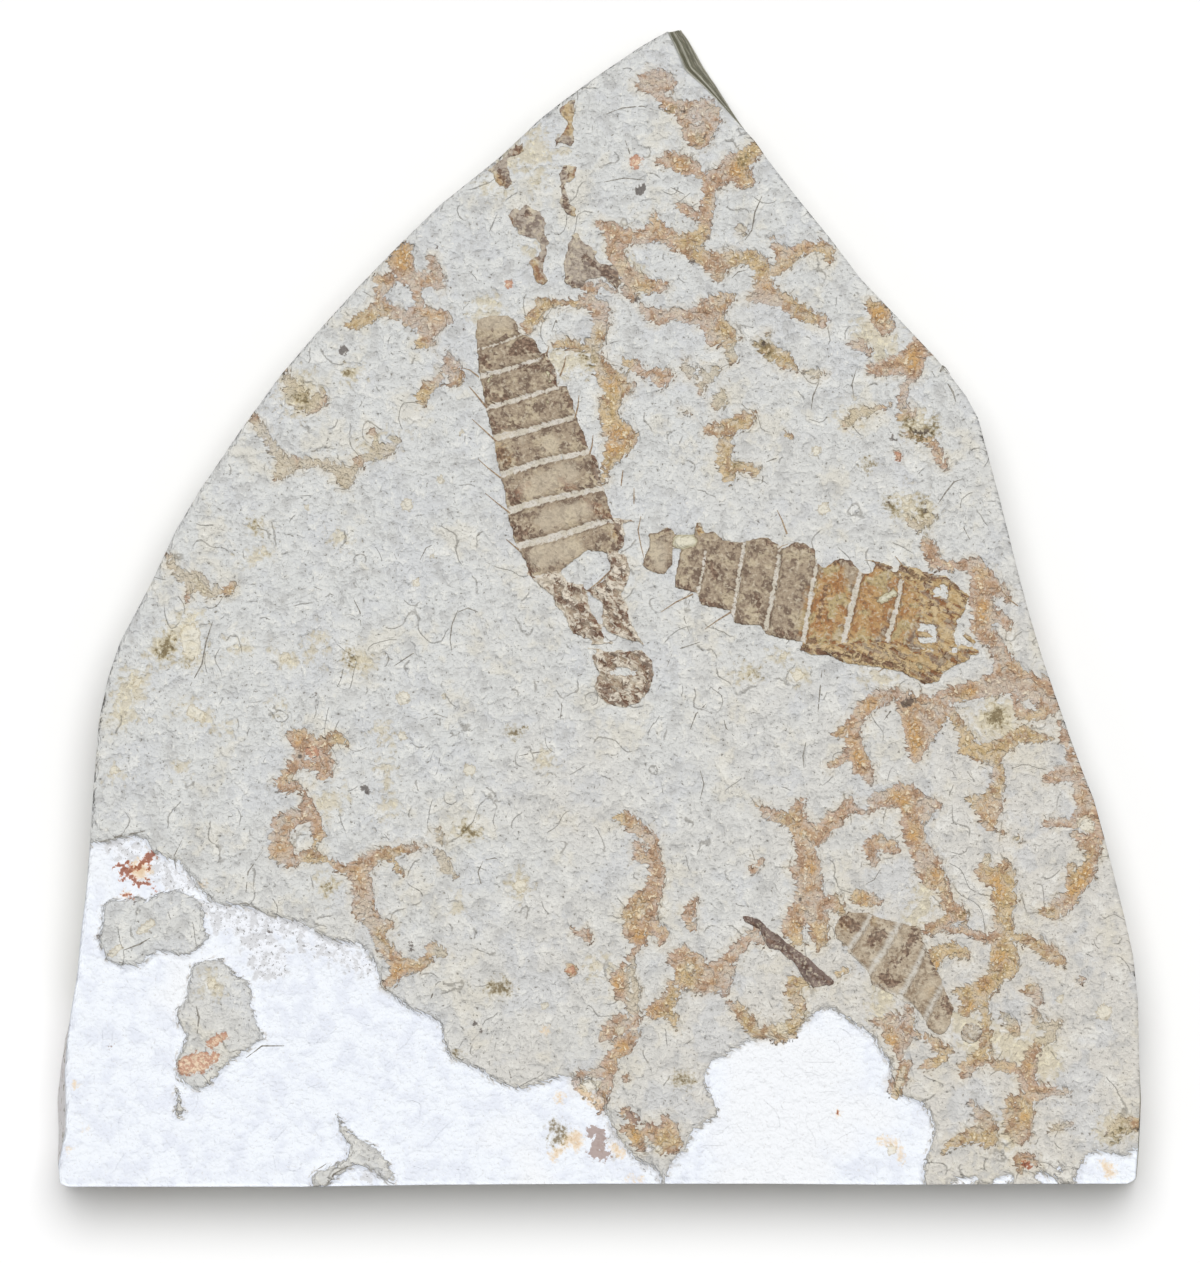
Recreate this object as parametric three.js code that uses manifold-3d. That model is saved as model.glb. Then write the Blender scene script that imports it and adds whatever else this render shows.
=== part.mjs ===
// A fossil slab: a hand-sized piece of pale shale that lies flat, with three flattened mayfly larvae and a
// scrap of plant on its upper face. The upper bed is grey. Along the lower edge it has flaked away and
// leaves a shallow ledge down to the white bed beneath. One upper corner is broken off as a steep facet.
//
// Millimetres, +Z up. The origin is the centre of the slab's footprint on the surface that it lies on,
// +Y points to the broken tip and the fossils face +Z.

import * as THREE from "three";
import { mergeVertices } from "three/addons/utils/BufferGeometryUtils.js";
import Module from "manifold-3d";

// Driving dimensions
const SLAB_WIDTH = 109.1;
const SLAB_THICKNESS = 11;
const WHITE_LEDGE = 0.6; // how far the white bed lies below the grey one
const FILM_PROUD = 0.35; // how far a fossil's plates stand above the grey face
const FILM_BASE = 1.0; // how deep a fossil's body reaches into the stone
const SEAT_GAP = 0.3; // clearance between a fossil and the seat cut for it
const WALL_UNDERCUT = 0.7; // how far the foot of the wall stands back from the silhouette

// Beds that show in the broken wall, as heights above the foot
const BED_HEIGHTS = [0, 0.5, 2.4, 2.8, 4.9, 5.3, 7.6, 8.0, 9.9];
const BED_LEDGE = 0.35; // how far alternate beds stand back

// Outlines are read from the photograph, in its pixels, and turned into millimetres by place().
const SLAB_LEFT_PX = 53;
const SLAB_RIGHT_PX = 1144;
const SLAB_TOP_PX = 26;
const SLAB_BOTTOM_PX = 1187;
const MM_PER_PX = SLAB_WIDTH / (SLAB_RIGHT_PX - SLAB_LEFT_PX);

// The slab's silhouette, counter-clockwise from the tip, as [x, y], or [x, y, dx, dy] where the wall leans
// outwards and the rim of the upper face stands back from the silhouette by dx, dy.
const SILHOUETTE_PX = [
  [683, 26, -16, 7], [668, 31], [640, 47], [600, 74], [563, 101], [540, 119], [500, 157], [470, 181],
  [440, 205], [400, 244], [360, 285], [320, 329], [280, 376], [240, 431], [200, 490], [175, 532],
  [155, 575], [138, 608], [120, 642], [108, 678], [99, 720], [94, 780], [90, 840], [86, 890], [80, 940],
  [77, 975], [71, 1010], [62, 1040, 5, 0], [57, 1070, 8, 0], [53, 1100, 13, 0], [54, 1130, 12, 0],
  [55, 1165, 3, 0], [60, 1184], [68, 1187], [160, 1187], [300, 1187], [440, 1185], [600, 1184],
  [760, 1184], [900, 1185], [1040, 1184], [1130, 1186, -2, -2], [1139, 1182, -3, -3],
  [1142, 1150, -4, 0], [1144, 1100, -4, 0], [1141, 1050, -2, 0], [1138, 1000], [1133, 955], [1124, 915],
  [1114, 875], [1105, 840], [1094, 800], [1084, 775], [1071, 740], [1057, 700], [1043, 660], [1031, 620],
  [1020, 580], [1010, 540], [1000, 500], [992, 470], [984, 440], [978, 418], [966, 396], [950, 375],
  [935, 357], [900, 320], [860, 278], [830, 238], [799, 200], [768, 160], [755, 141], [741, 120, -4, 2],
  [730, 101, -8, 5], [717, 80, -13, 8], [704, 59, -20, 12], [692, 37, -18, 11],
];

// The edge of the grey bed: everything below this line shows the white bed.
const WHITE_BED_PX = [
  [30, 846], [100, 842], [112, 836], [135, 834], [150, 840], [168, 856], [190, 874], [203, 892],
  [222, 904], [250, 908], [280, 914], [300, 920], [318, 936], [345, 944], [365, 958], [374, 972],
  [382, 988], [398, 1002], [414, 1010], [432, 1016], [440, 1028], [444, 1048], [452, 1062], [468, 1062],
  [482, 1070], [500, 1082], [520, 1086], [545, 1082], [560, 1078], [578, 1076], [592, 1086], [600, 1098],
  [608, 1112], [612, 1126], [618, 1160], [640, 1166], [662, 1164], [672, 1152], [684, 1146], [690, 1128],
  [712, 1120], [712, 1106], [705, 1088], [706, 1070], [716, 1058], [736, 1050], [746, 1040], [766, 1036],
  [786, 1038], [800, 1028], [812, 1014], [826, 1010], [842, 1020], [862, 1030], [876, 1040], [884, 1054],
  [896, 1066], [892, 1084], [902, 1098], [922, 1100], [932, 1116], [936, 1130], [926, 1148], [922, 1166],
  [928, 1215], [30, 1215],
];

// Grey flakes left standing on the white bed
const GREY_FLAKES_PX = [
  [
    [106, 940], [104, 905], [120, 897], [150, 893], [180, 898], [200, 905], [204, 925], [199, 941],
    [185, 952], [160, 950], [145, 960], [120, 966], [103, 960],
  ],
  [
    [195, 985], [206, 972], [222, 965], [233, 975], [250, 982], [253, 1000], [257, 1020], [264, 1038],
    [250, 1050], [232, 1056], [224, 1066], [210, 1081], [195, 1089], [180, 1082], [175, 1062],
    [180, 1045], [185, 1030], [177, 1010],
  ],
];

// Bodies of the three larvae, head end last or first as the animal lies
const UPPER_LARVA_BODY_PX = [
  [476, 311], [474, 355], [478, 390], [484, 415], [489, 440], [496, 465], [498, 490], [506, 512],
  [508, 530], [516, 552], [524, 566], [534, 580], [545, 598], [560, 615], [565, 640], [590, 645],
  [600, 652], [594, 668], [597, 690], [608, 703], [628, 708], [645, 698], [652, 680], [652, 660],
  [638, 650], [632, 632], [632, 610], [630, 590], [630, 565], [626, 548], [622, 523], [614, 517],
  [609, 498], [601, 486], [601, 470], [595, 454], [589, 436], [582, 418], [574, 405], [566, 388],
  [557, 377], [550, 356], [540, 350], [531, 337], [522, 333], [513, 315],
];
const RIGHT_LARVA_BODY_PX = [
  [642, 570], [662, 577], [673, 588], [697, 603], [719, 611], [733, 623], [761, 633], [795, 643],
  [798, 652], [830, 657], [860, 664], [890, 673], [915, 681], [935, 685], [950, 656], [962, 640],
  [968, 612], [962, 592], [950, 580], [932, 577], [912, 567], [897, 569], [875, 561], [862, 564],
  [845, 555], [826, 562], [818, 548], [794, 538], [783, 545], [772, 538], [759, 534], [747, 540],
  [733, 542], [724, 534], [708, 532], [704, 523], [694, 523], [678, 536], [666, 527], [648, 531],
];
const LOWER_LARVA_BODY_PX = [
  [838, 912], [833, 931], [840, 949], [850, 961], [868, 970], [870, 986], [900, 998], [914, 1009],
  [924, 1032], [945, 1037], [960, 1046], [977, 1045], [985, 1035], [984, 1023], [962, 1015],
  [950, 989], [940, 981], [929, 947], [921, 927], [899, 920], [870, 910],
];

// The plates of each abdomen, from the tail towards the head
const UPPER_LARVA_PLATES_PX = [
  [[478, 312], [477, 349], [500, 344], [519, 333], [511, 317]],
  [[477, 353], [483, 374], [534, 358], [537, 351], [529, 340], [506, 349]],
  [[481, 381], [488, 405], [549, 386], [555, 376], [549, 361], [538, 364]],
  [[491, 412], [500, 435], [568, 415], [571, 405], [565, 391]],
  [[500, 443], [506, 469], [555, 457], [585, 447], [586, 435], [580, 422]],
  [[502, 481], [512, 505], [570, 489], [597, 481], [598, 469], [592, 457]],
  [[509, 516], [522, 540], [577, 524], [611, 517], [606, 501], [580, 498]],
  [[518, 554], [532, 568], [553, 571], [576, 557], [606, 553], [622, 547], [620, 526], [582, 538]],
];
const RIGHT_LARVA_PLATES_PX = [
  [[649, 535], [644, 568], [662, 573], [671, 562], [674, 538], [665, 530]],
  [[679, 550], [675, 585], [696, 591], [703, 552]],
  [[697, 527], [707, 552], [699, 600], [719, 608], [731, 600], [744, 545], [722, 537]],
  [[749, 544], [736, 620], [759, 624], [764, 603], [773, 590], [776, 548], [760, 538]],
  [[786, 550], [778, 586], [764, 630], [795, 639], [804, 615], [812, 586], [815, 551], [794, 542]],
  [[825, 567], [814, 606], [801, 648], [836, 651], [841, 634], [853, 592], [858, 566], [845, 558]],
  [[864, 576], [859, 591], [847, 639], [880, 641], [892, 603], [896, 573], [875, 565]],
  [[901, 589], [889, 641], [912, 642], [921, 610], [929, 581], [912, 571]],
  [[934, 584], [924, 640], [946, 650], [960, 636], [964, 612], [954, 592]],
];
const LOWER_LARVA_PLATES_PX = [
  [[839, 914], [836, 931], [843, 945], [858, 934], [867, 913]],
  [[873, 917], [860, 938], [853, 957], [875, 963], [887, 945], [895, 923]],
  [[901, 924], [883, 961], [874, 983], [899, 993], [920, 947], [917, 931]],
  [[925, 953], [913, 973], [904, 997], [916, 1005], [936, 984]],
  [[944, 992], [935, 1007], [929, 1028], [946, 1032], [956, 1017]],
];

// Lumps of the thorax and head, as [x, y, radius]
const UPPER_LARVA_LUMPS_PX = [
  [560, 588, 13], [573, 612, 12], [614, 580, 14], [618, 618, 13], [592, 632, 13], [616, 662, 12],
  [641, 676, 12], [610, 690, 11], [628, 696, 10],
];
const RIGHT_LARVA_LUMPS_PX = [[888, 660, 9], [922, 668, 10], [860, 656, 6]];
const LOWER_LARVA_LUMPS_PX = [[970, 1032, 11]];

// Patches of the tail filaments' film, and the plant scrap
const TAIL_PATCHES_PX = {
  upper_larva_left_tail: [
    [507, 217], [508, 230], [515, 240], [526, 240], [532, 256], [533, 270], [537, 284], [544, 288],
    [549, 282], [546, 262], [548, 246], [543, 235], [546, 222], [543, 214], [533, 210], [525, 202],
  ],
  upper_larva_left_tail_tip: [
    [497, 171], [497, 180], [501, 188], [507, 193], [512, 188], [509, 176], [510, 168], [519, 160],
    [527, 153], [523, 147], [508, 160],
  ],
  upper_larva_middle_tail: [
    [562, 166], [561, 190], [559, 204], [568, 216], [577, 216], [572, 202], [566, 193], [571, 184],
    [577, 174], [575, 163],
  ],
  upper_larva_middle_tail_tip: [
    [566, 110], [562, 116], [566, 123], [562, 133], [555, 143], [558, 148], [570, 148], [575, 140],
    [573, 125], [576, 114], [573, 106],
  ],
  upper_larva_right_tail: [
    [570, 236], [566, 250], [562, 266], [563, 280], [570, 289], [580, 290], [588, 282], [601, 280],
    [612, 287], [621, 290], [620, 279], [612, 268], [600, 262], [596, 253], [590, 243], [580, 240],
  ],
};
const PLANT_SCRAP_PX = [
  [741, 916], [743, 922], [750, 926], [758, 930], [763, 940], [768, 950], [779, 951], [784, 957],
  [793, 963], [798, 971], [805, 983], [813, 989], [822, 987], [833, 986], [836, 983], [832, 977],
  [819, 967], [815, 962], [809, 957], [799, 950], [788, 942], [779, 934], [768, 927], [761, 919],
  [747, 914],
];

const CENTRE_PX = [(SLAB_LEFT_PX + SLAB_RIGHT_PX) / 2, (SLAB_TOP_PX + SLAB_BOTTOM_PX) / 2];

// A point of the photograph as a point of the slab
function place([x, y]) {
  return new THREE.Vector2((x - CENTRE_PX[0]) * MM_PER_PX, (CENTRE_PX[1] - y) * MM_PER_PX);
}

const wasm = await Module();
wasm.setup();

function toSolid(geometry) {
  const bare = geometry.index ? geometry.toNonIndexed() : geometry.clone();
  bare.deleteAttribute("normal");
  bare.deleteAttribute("uv");
  const merged = mergeVertices(bare, 1e-4);
  return new wasm.Manifold(
    new wasm.Mesh({
      numProp: 3,
      vertProperties: merged.attributes.position.array,
      triVerts: new Uint32Array(merged.index.array),
    }),
  );
}

function toGeometry(solid) {
  const { vertProperties, triVerts } = solid.getMesh();
  const geometry = new THREE.BufferGeometry();
  geometry.setAttribute("position", new THREE.BufferAttribute(vertProperties, 3));
  geometry.setIndex(new THREE.BufferAttribute(triVerts, 1));
  geometry.computeVertexNormals();
  return geometry;
}

// Outward direction at each corner of a counter-clockwise outline
function cornerNormals(points) {
  return points.map((_, i) => {
    const before = points[(i + points.length - 1) % points.length];
    const after = points[(i + 1) % points.length];
    const along = after.clone().sub(before).normalize();
    return new THREE.Vector2(along.y, -along.x);
  });
}

function grown(points, distance) {
  const normals = cornerNormals(points);
  return points.map((p, i) => p.clone().addScaledVector(normals[i], distance));
}

// A solid skinned over rings of equally many points, closed with a flat cap at each end
function loft(rings) {
  const n = rings[0].length;
  const positions = rings.flat().flatMap((p) => [p.x, p.y, p.z]);
  const index = [];
  for (let r = 0; r < rings.length - 1; r++) {
    for (let i = 0; i < n; i++) {
      const a = r * n + i;
      const b = r * n + ((i + 1) % n);
      index.push(a, b, b + n, a, b + n, a + n);
    }
  }
  const flat = (ring) => ring.map((p) => new THREE.Vector2(p.x, p.y));
  const top = (rings.length - 1) * n;
  THREE.ShapeUtils.triangulateShape(flat(rings[0]), []).forEach(([a, b, c]) => index.push(a, c, b));
  THREE.ShapeUtils.triangulateShape(flat(rings.at(-1)), []).forEach(([a, b, c]) =>
    index.push(top + a, top + b, top + c),
  );
  const geometry = new THREE.BufferGeometry();
  geometry.setAttribute("position", new THREE.Float32BufferAttribute(positions, 3));
  geometry.setIndex(index);
  return geometry;
}

// An upright prism from one height to another, its upper edge bevelled
function prism(points, low, high, bevel = 0) {
  const geometry = new THREE.ExtrudeGeometry(new THREE.Shape(points), {
    depth: high - low - bevel,
    steps: 1,
    bevelEnabled: bevel > 0,
    bevelThickness: bevel,
    bevelSize: bevel,
    bevelOffset: -bevel,
    bevelSegments: 1,
  });
  return geometry.translate(0, 0, low);
}

// Gentle swells of the grey face, in millimetres below its highest level
function faceDip(x, y) {
  const swell = Math.sin(x * 0.11 + 0.7) * Math.cos(y * 0.09 - 0.4) + 0.6 * Math.sin(x * 0.05 - y * 0.14);
  const ripple = Math.sin(x * 0.53 + y * 0.31) * Math.sin(y * 0.47 - x * 0.22);
  return 0.14 * (1.6 - swell) * 0.5 + 0.05 * (1 - ripple);
}

// The slab's rough block: a skinned wall with the beds' ledges, taller than the finished slab
function makeBlock() {
  const silhouette = SILHOUETTE_PX.map(place);
  const rim = SILHOUETTE_PX.map(([x, y, dx = 0, dy = 0]) => place([x + dx, y + dy]));
  const normals = cornerNormals(silhouette);
  const overshoot = 1;
  const heights = [...BED_HEIGHTS, SLAB_THICKNESS + overshoot];
  const rings = heights.map((z, bed) => {
    const rise = Math.min(z / SLAB_THICKNESS, 1);
    return silhouette.map((point, i) => {
      const leans = rim[i].distanceTo(point) > 0;
      const back = leans ? 0 : WALL_UNDERCUT * (1 - rise) * (0.6 + 0.4 * Math.sin(i * 1.7));
      const ledge = bed > 0 && bed < heights.length - 1 && Math.floor(bed / 2) % 2 === 1 ? BED_LEDGE : 0;
      const chipped = ledge * (0.65 + 0.35 * Math.sin(i * 2.3 + bed));
      const edge = point.clone().lerp(rim[i], rise).addScaledVector(normals[i], -back - chipped);
      return new THREE.Vector3(edge.x, edge.y, z);
    });
  });
  return toSolid(loft(rings));
}

// The air above the grey face, whose underside has the face's swells
function makeAir() {
  const margin = 8;
  const depth = 6;
  const spacing = 3.4;
  const width = SLAB_WIDTH + 2 * margin;
  const length = (SLAB_BOTTOM_PX - SLAB_TOP_PX) * MM_PER_PX + 2 * margin;
  const columns = Math.round(width / spacing);
  const rows = Math.round(length / spacing);
  const geometry = new THREE.BoxGeometry(width, length, depth, columns, rows, 1);
  geometry.translate(0, 0, SLAB_THICKNESS + depth / 2);
  const position = geometry.attributes.position;
  for (let i = 0; i < position.count; i++) {
    if (position.getZ(i) < SLAB_THICKNESS + depth / 2) {
      position.setZ(i, SLAB_THICKNESS - faceDip(position.getX(i), position.getY(i)));
    }
  }
  return toSolid(geometry);
}

// What has flaked away over the white bed, leaving the grey flakes standing
function makeLedgeCut() {
  const low = SLAB_THICKNESS - WHITE_LEDGE;
  const high = SLAB_THICKNESS + 3;
  let cut = toSolid(prism(WHITE_BED_PX.map(place), low, high));
  for (const flake of GREY_FLAKES_PX) {
    cut = cut.subtract(toSolid(prism(flake.map(place), low - 1, high + 1)));
  }
  return cut;
}

// A larva: a thin body let into the stone, with the plates of its abdomen and the lumps of its front end
function makeLarva(body, plates, lumps) {
  let larva = toSolid(prism(body.map(place), SLAB_THICKNESS - FILM_BASE, SLAB_THICKNESS));
  for (const plate of plates) {
    const top = SLAB_THICKNESS + FILM_PROUD;
    larva = larva.add(toSolid(prism(plate.map(place), SLAB_THICKNESS - FILM_BASE / 2, top, 0.2)));
  }
  for (const [x, y, radius] of lumps) {
    const lump = new THREE.IcosahedronGeometry(1, 1);
    const middle = place([x, y]);
    lump.scale(radius * MM_PER_PX, radius * MM_PER_PX, FILM_PROUD + 0.1);
    lump.translate(middle.x, middle.y, SLAB_THICKNESS);
    larva = larva.add(toSolid(lump));
  }
  return larva;
}

function makeFilm(outline) {
  const top = SLAB_THICKNESS + FILM_PROUD / 2;
  return toSolid(prism(outline.map(place), SLAB_THICKNESS - FILM_BASE, top, 0.12));
}

function makeSeat(outline) {
  const room = grown(outline.map(place), SEAT_GAP);
  return toSolid(prism(room, SLAB_THICKNESS - FILM_BASE - SEAT_GAP, SLAB_THICKNESS + 3));
}

// The lumps of a front end can stand outside its body, so its seat takes them in
function makeLumpSeats(lumps) {
  return lumps.map(([x, y, radius]) => {
    const seat = new THREE.CylinderGeometry(radius * MM_PER_PX + SEAT_GAP, radius * MM_PER_PX + SEAT_GAP, 5, 14);
    const middle = place([x, y]);
    seat.rotateX(Math.PI / 2);
    seat.translate(middle.x, middle.y, SLAB_THICKNESS - FILM_BASE - SEAT_GAP + 2.5);
    return toSolid(seat);
  });
}

const shale = new THREE.MeshStandardMaterial({ color: 0xcecdc9, roughness: 0.93, metalness: 0 });
const filmBrown = new THREE.MeshStandardMaterial({ color: 0xa49381, roughness: 0.62, metalness: 0 });
const filmOchre = new THREE.MeshStandardMaterial({ color: 0xb08f66, roughness: 0.66, metalness: 0 });
const filmDark = new THREE.MeshStandardMaterial({ color: 0x7d706a, roughness: 0.6, metalness: 0 });

function named(name, solid, material) {
  const mesh = new THREE.Mesh(toGeometry(solid), material);
  mesh.name = name;
  return mesh;
}

const larvae = [
  ["upper_larva", UPPER_LARVA_BODY_PX, UPPER_LARVA_PLATES_PX, UPPER_LARVA_LUMPS_PX, filmBrown],
  ["right_larva", RIGHT_LARVA_BODY_PX, RIGHT_LARVA_PLATES_PX, RIGHT_LARVA_LUMPS_PX, filmOchre],
  ["lower_larva", LOWER_LARVA_BODY_PX, LOWER_LARVA_PLATES_PX, LOWER_LARVA_LUMPS_PX, filmBrown],
];
const films = [
  ...Object.entries(TAIL_PATCHES_PX).map(([name, outline]) => [name, outline, filmBrown]),
  ["plant_scrap", PLANT_SCRAP_PX, filmDark],
];

let slab = makeBlock().subtract(makeAir()).subtract(makeLedgeCut());
for (const [, body, , lumps] of larvae) {
  slab = slab.subtract(makeSeat(body));
  for (const seat of makeLumpSeats(lumps)) {
    slab = slab.subtract(seat);
  }
}
for (const [, outline] of films) {
  slab = slab.subtract(makeSeat(outline));
}

const fossil = new THREE.Group();
fossil.name = "fossil_larva_slab";
fossil.add(named("slab", slab, shale));
for (const [name, body, plates, lumps, material] of larvae) {
  fossil.add(named(name, makeLarva(body, plates, lumps), material));
}
for (const [name, outline, material] of films) {
  fossil.add(named(name, makeFilm(outline), material));
}

export default fossil;
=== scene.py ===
# %% [markdown]
# # A slab of shale with three mayfly larvae
#
# The object is a hand-sized piece of pale shale that lies on a table and is seen from straight above.
# It is modelled as the stone itself, the thin mineral films of three flattened larvae with the scraps of
# one larva's tail, a scrap of plant, and the finest things on the face: bristles, and dark threads of
# painted shadow in the hairline cracks.

# %% Load the frame
import math

import bmesh
import bpy
import numpy as np
from mathutils import Matrix, Vector, noise


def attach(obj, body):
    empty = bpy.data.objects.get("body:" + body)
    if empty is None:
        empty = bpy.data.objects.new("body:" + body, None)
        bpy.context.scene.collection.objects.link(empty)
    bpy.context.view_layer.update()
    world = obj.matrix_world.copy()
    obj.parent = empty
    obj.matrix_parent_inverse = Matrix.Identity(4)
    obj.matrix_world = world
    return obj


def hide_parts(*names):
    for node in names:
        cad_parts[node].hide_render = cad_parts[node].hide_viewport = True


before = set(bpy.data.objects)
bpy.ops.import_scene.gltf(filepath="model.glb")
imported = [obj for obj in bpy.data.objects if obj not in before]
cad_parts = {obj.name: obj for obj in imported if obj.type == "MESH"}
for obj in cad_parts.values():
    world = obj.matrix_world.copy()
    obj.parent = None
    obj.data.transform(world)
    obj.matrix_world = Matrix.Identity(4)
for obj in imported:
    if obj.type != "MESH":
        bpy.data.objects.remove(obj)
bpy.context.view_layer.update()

# %% [markdown]
# Everything on the face was placed on the photograph, so places are written in its pixels, from its
# upper left corner. One pixel is a tenth of a millimetre on the stone. The middle of the slab is at the
# origin, and SLAB_CENTRE_PX is its pixel.

# %% Units and the way from a pixel to the stone
MM = 0.001
PIXEL = 0.1 * MM
SLAB_CENTRE_PX = (598.5, 606.5)
SLAB_THICKNESS = 11 * MM


def on_stone(x, y):
    """The place on the stone, in metres, of a pixel of the photograph."""
    return ((x - SLAB_CENTRE_PX[0]) * PIXEL, (SLAB_CENTRE_PX[1] - y) * PIXEL)


def outline_on_stone(pixels):
    return np.array([on_stone(x, y) for x, y in pixels])


# %% [markdown]
# A camera straight above the stone needs a long lens, as a copy stand has, so that the walls stay hidden.
# The photograph's frame is 126.3 mm tall at the height of the fossil face.

# %% The camera
FRAME_CENTRE_PX = (600, 631.5)
FRAME_HEIGHT = 126.3 * MM
CAMERA_DISTANCE = 2.5
SENSOR = 36

camera_data = bpy.data.cameras.new("camera")
camera = bpy.data.objects.new("camera", camera_data)
bpy.context.scene.collection.objects.link(camera)
frame_x, frame_y = on_stone(*FRAME_CENTRE_PX)
camera.location = (frame_x, frame_y, SLAB_THICKNESS + CAMERA_DISTANCE)
camera_data.sensor_width = SENSOR
camera_data.lens = SENSOR * CAMERA_DISTANCE / FRAME_HEIGHT
bpy.context.scene.camera = camera
print("lens, mm:", round(camera_data.lens, 1))

# %% [markdown]
# A white table and plain studio light. In the photograph the shadow below the straight edge fades evenly
# from dark to nothing, and the two sides have a fainter one. So the light is a wide disc, high up and a
# little towards the tip. A sun lamp with a wide disc does that, and a white world lifts the shadows.

# %% The table and the light
TABLE_SIZE = 3
TABLE_WHITE = 0.93
TABLE_ROUGHNESS = 0.9
WORLD_LIGHT = 0.28
SUN_STRENGTH = 2.69
SUN_DISC_DEGREES = 42
SUN_HEIGHT_DEGREES = 74.5
SUN_TURN_DEGREES = -5
# How bright a flat surface of full white comes out, which the paints below allow for
LIGHT_LEVEL = 1.0

sun_data = bpy.data.lights.new("window light", "SUN")
sun_data.energy = SUN_STRENGTH
sun_data.angle = math.radians(SUN_DISC_DEGREES)
sun = bpy.data.objects.new("window light", sun_data)
sun.rotation_euler = (math.radians(SUN_HEIGHT_DEGREES - 90), 0, math.radians(SUN_TURN_DEGREES))
bpy.context.scene.collection.objects.link(sun)

world = bpy.data.worlds.new("studio")
world.use_nodes = True
world.node_tree.nodes["Background"].inputs["Color"].default_value = (1, 1, 1, 1)
world.node_tree.nodes["Background"].inputs["Strength"].default_value = WORLD_LIGHT
bpy.context.scene.world = world
bpy.context.scene.view_settings.view_transform = "Standard"

table_mesh = bpy.data.meshes.new("table")
table_bmesh = bmesh.new()
bmesh.ops.create_grid(table_bmesh, x_segments=1, y_segments=1, size=TABLE_SIZE / 2)
table_bmesh.to_mesh(table_mesh)
table_bmesh.free()
table = bpy.data.objects.new("table", table_mesh)
bpy.context.scene.collection.objects.link(table)
table_paint = bpy.data.materials.new("table white")
table_paint.use_nodes = True
table_shader = table_paint.node_tree.nodes["Principled BSDF"]
table_shader.inputs["Base Color"].default_value = (TABLE_WHITE, TABLE_WHITE, TABLE_WHITE, 1)
table_shader.inputs["Roughness"].default_value = TABLE_ROUGHNESS
table_shader.inputs["Specular IOR Level"].default_value = 0
table_mesh.materials.append(table_paint)

# %% [markdown]
# ## Distances
# The stone's markings have crisp, ragged borders much finer than any mesh. So each vertex stores how far it
# is from the border of each marking, below zero inside it. That distance changes smoothly, so a coarse
# mesh can carry it, and the material roughens it with noise and cuts it off sharply at zero.

# %% Distances to outlines and strokes
def outline_distance(points, outline):
    """How far each point is from a closed outline, in metres, below zero inside it."""
    nearest = np.full(len(points), np.inf)
    inside = np.zeros(len(points), bool)
    for a, b in zip(outline, np.roll(outline, -1, axis=0)):
        side = b - a
        share = np.clip((points - a) @ side / (side @ side), 0, 1)
        gap = points - a - share[:, None] * side
        nearest = np.minimum(nearest, np.hypot(gap[:, 0], gap[:, 1]))
        if a[1] != b[1]:
            crossing = a[0] + (points[:, 1] - a[1]) / (b[1] - a[1]) * side[0]
            inside ^= ((a[1] > points[:, 1]) != (b[1] > points[:, 1])) & (points[:, 0] < crossing)
    return np.where(inside, -nearest, nearest)


def stroke_gaps(points, strokes):
    """How far the points are from each side of each stroke, a chain of (x, y, radius) in pixels."""
    for stroke in strokes:
        for (ax, ay, ar), (bx, by, br) in zip(stroke, stroke[1:] or stroke):
            a = np.array(on_stone(ax, ay))
            side = np.array(on_stone(bx, by)) - a
            share = np.clip((points - a) @ side / max(side @ side, 1e-12), 0, 1)
            gap = points - a - share[:, None] * side
            yield np.hypot(gap[:, 0], gap[:, 1]) - (ar + (br - ar) * share) * PIXEL


def stroke_distance(points, strokes):
    """How far each point is from the nearest stroke, below zero inside it."""
    nearest = np.full(len(points), 1.0)
    for gap in stroke_gaps(points, strokes):
        nearest = np.minimum(nearest, gap)
    return nearest


def blended_distance(points, strokes, softness):
    """The same, with the corners where strokes meet filled in roundly."""
    closeness = np.zeros(len(points))
    for gap in stroke_gaps(points, strokes):
        closeness += np.exp(-np.clip(gap, -3 * MM, 9 * MM) / softness)
    return -softness * np.log(closeness + 1e-12)


def ramp(values, low, high):
    """0 at low, 1 at high, and an easy S between them."""
    share = np.clip((np.asarray(values) - low) / (high - low), 0, 1)
    return share * share * (3 - 2 * share)


def noise_field(points, size, octaves=3, shift=0.0):
    """Smooth noise from -1 to 1 at each point, with lumps of the given size in metres."""
    lumps = [
        noise.fractal((x / size + shift, y / size - shift, shift), 1.0, 2.0, octaves) for x, y in points
    ]
    return np.clip(np.array(lumps), -1, 1)


def store(piece, name, values):
    """Keeps one number for each vertex of the piece, for its material to read."""
    layer = piece.data.attributes.new(name, "FLOAT", "POINT")
    layer.data.foreach_set("value", np.asarray(values, dtype=np.float32))


def vertex_places(piece):
    flat = np.empty(len(piece.data.vertices) * 3)
    piece.data.vertices.foreach_get("co", flat)
    return flat.reshape(-1, 3)


# %% [markdown]
# ## The outline of the stone
# The slab was sawn or split square along the bottom and broken along the two curved sides. At the tip and
# along the lower left the wall leans outwards, so the upper rim stands back from the silhouette there.

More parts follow.
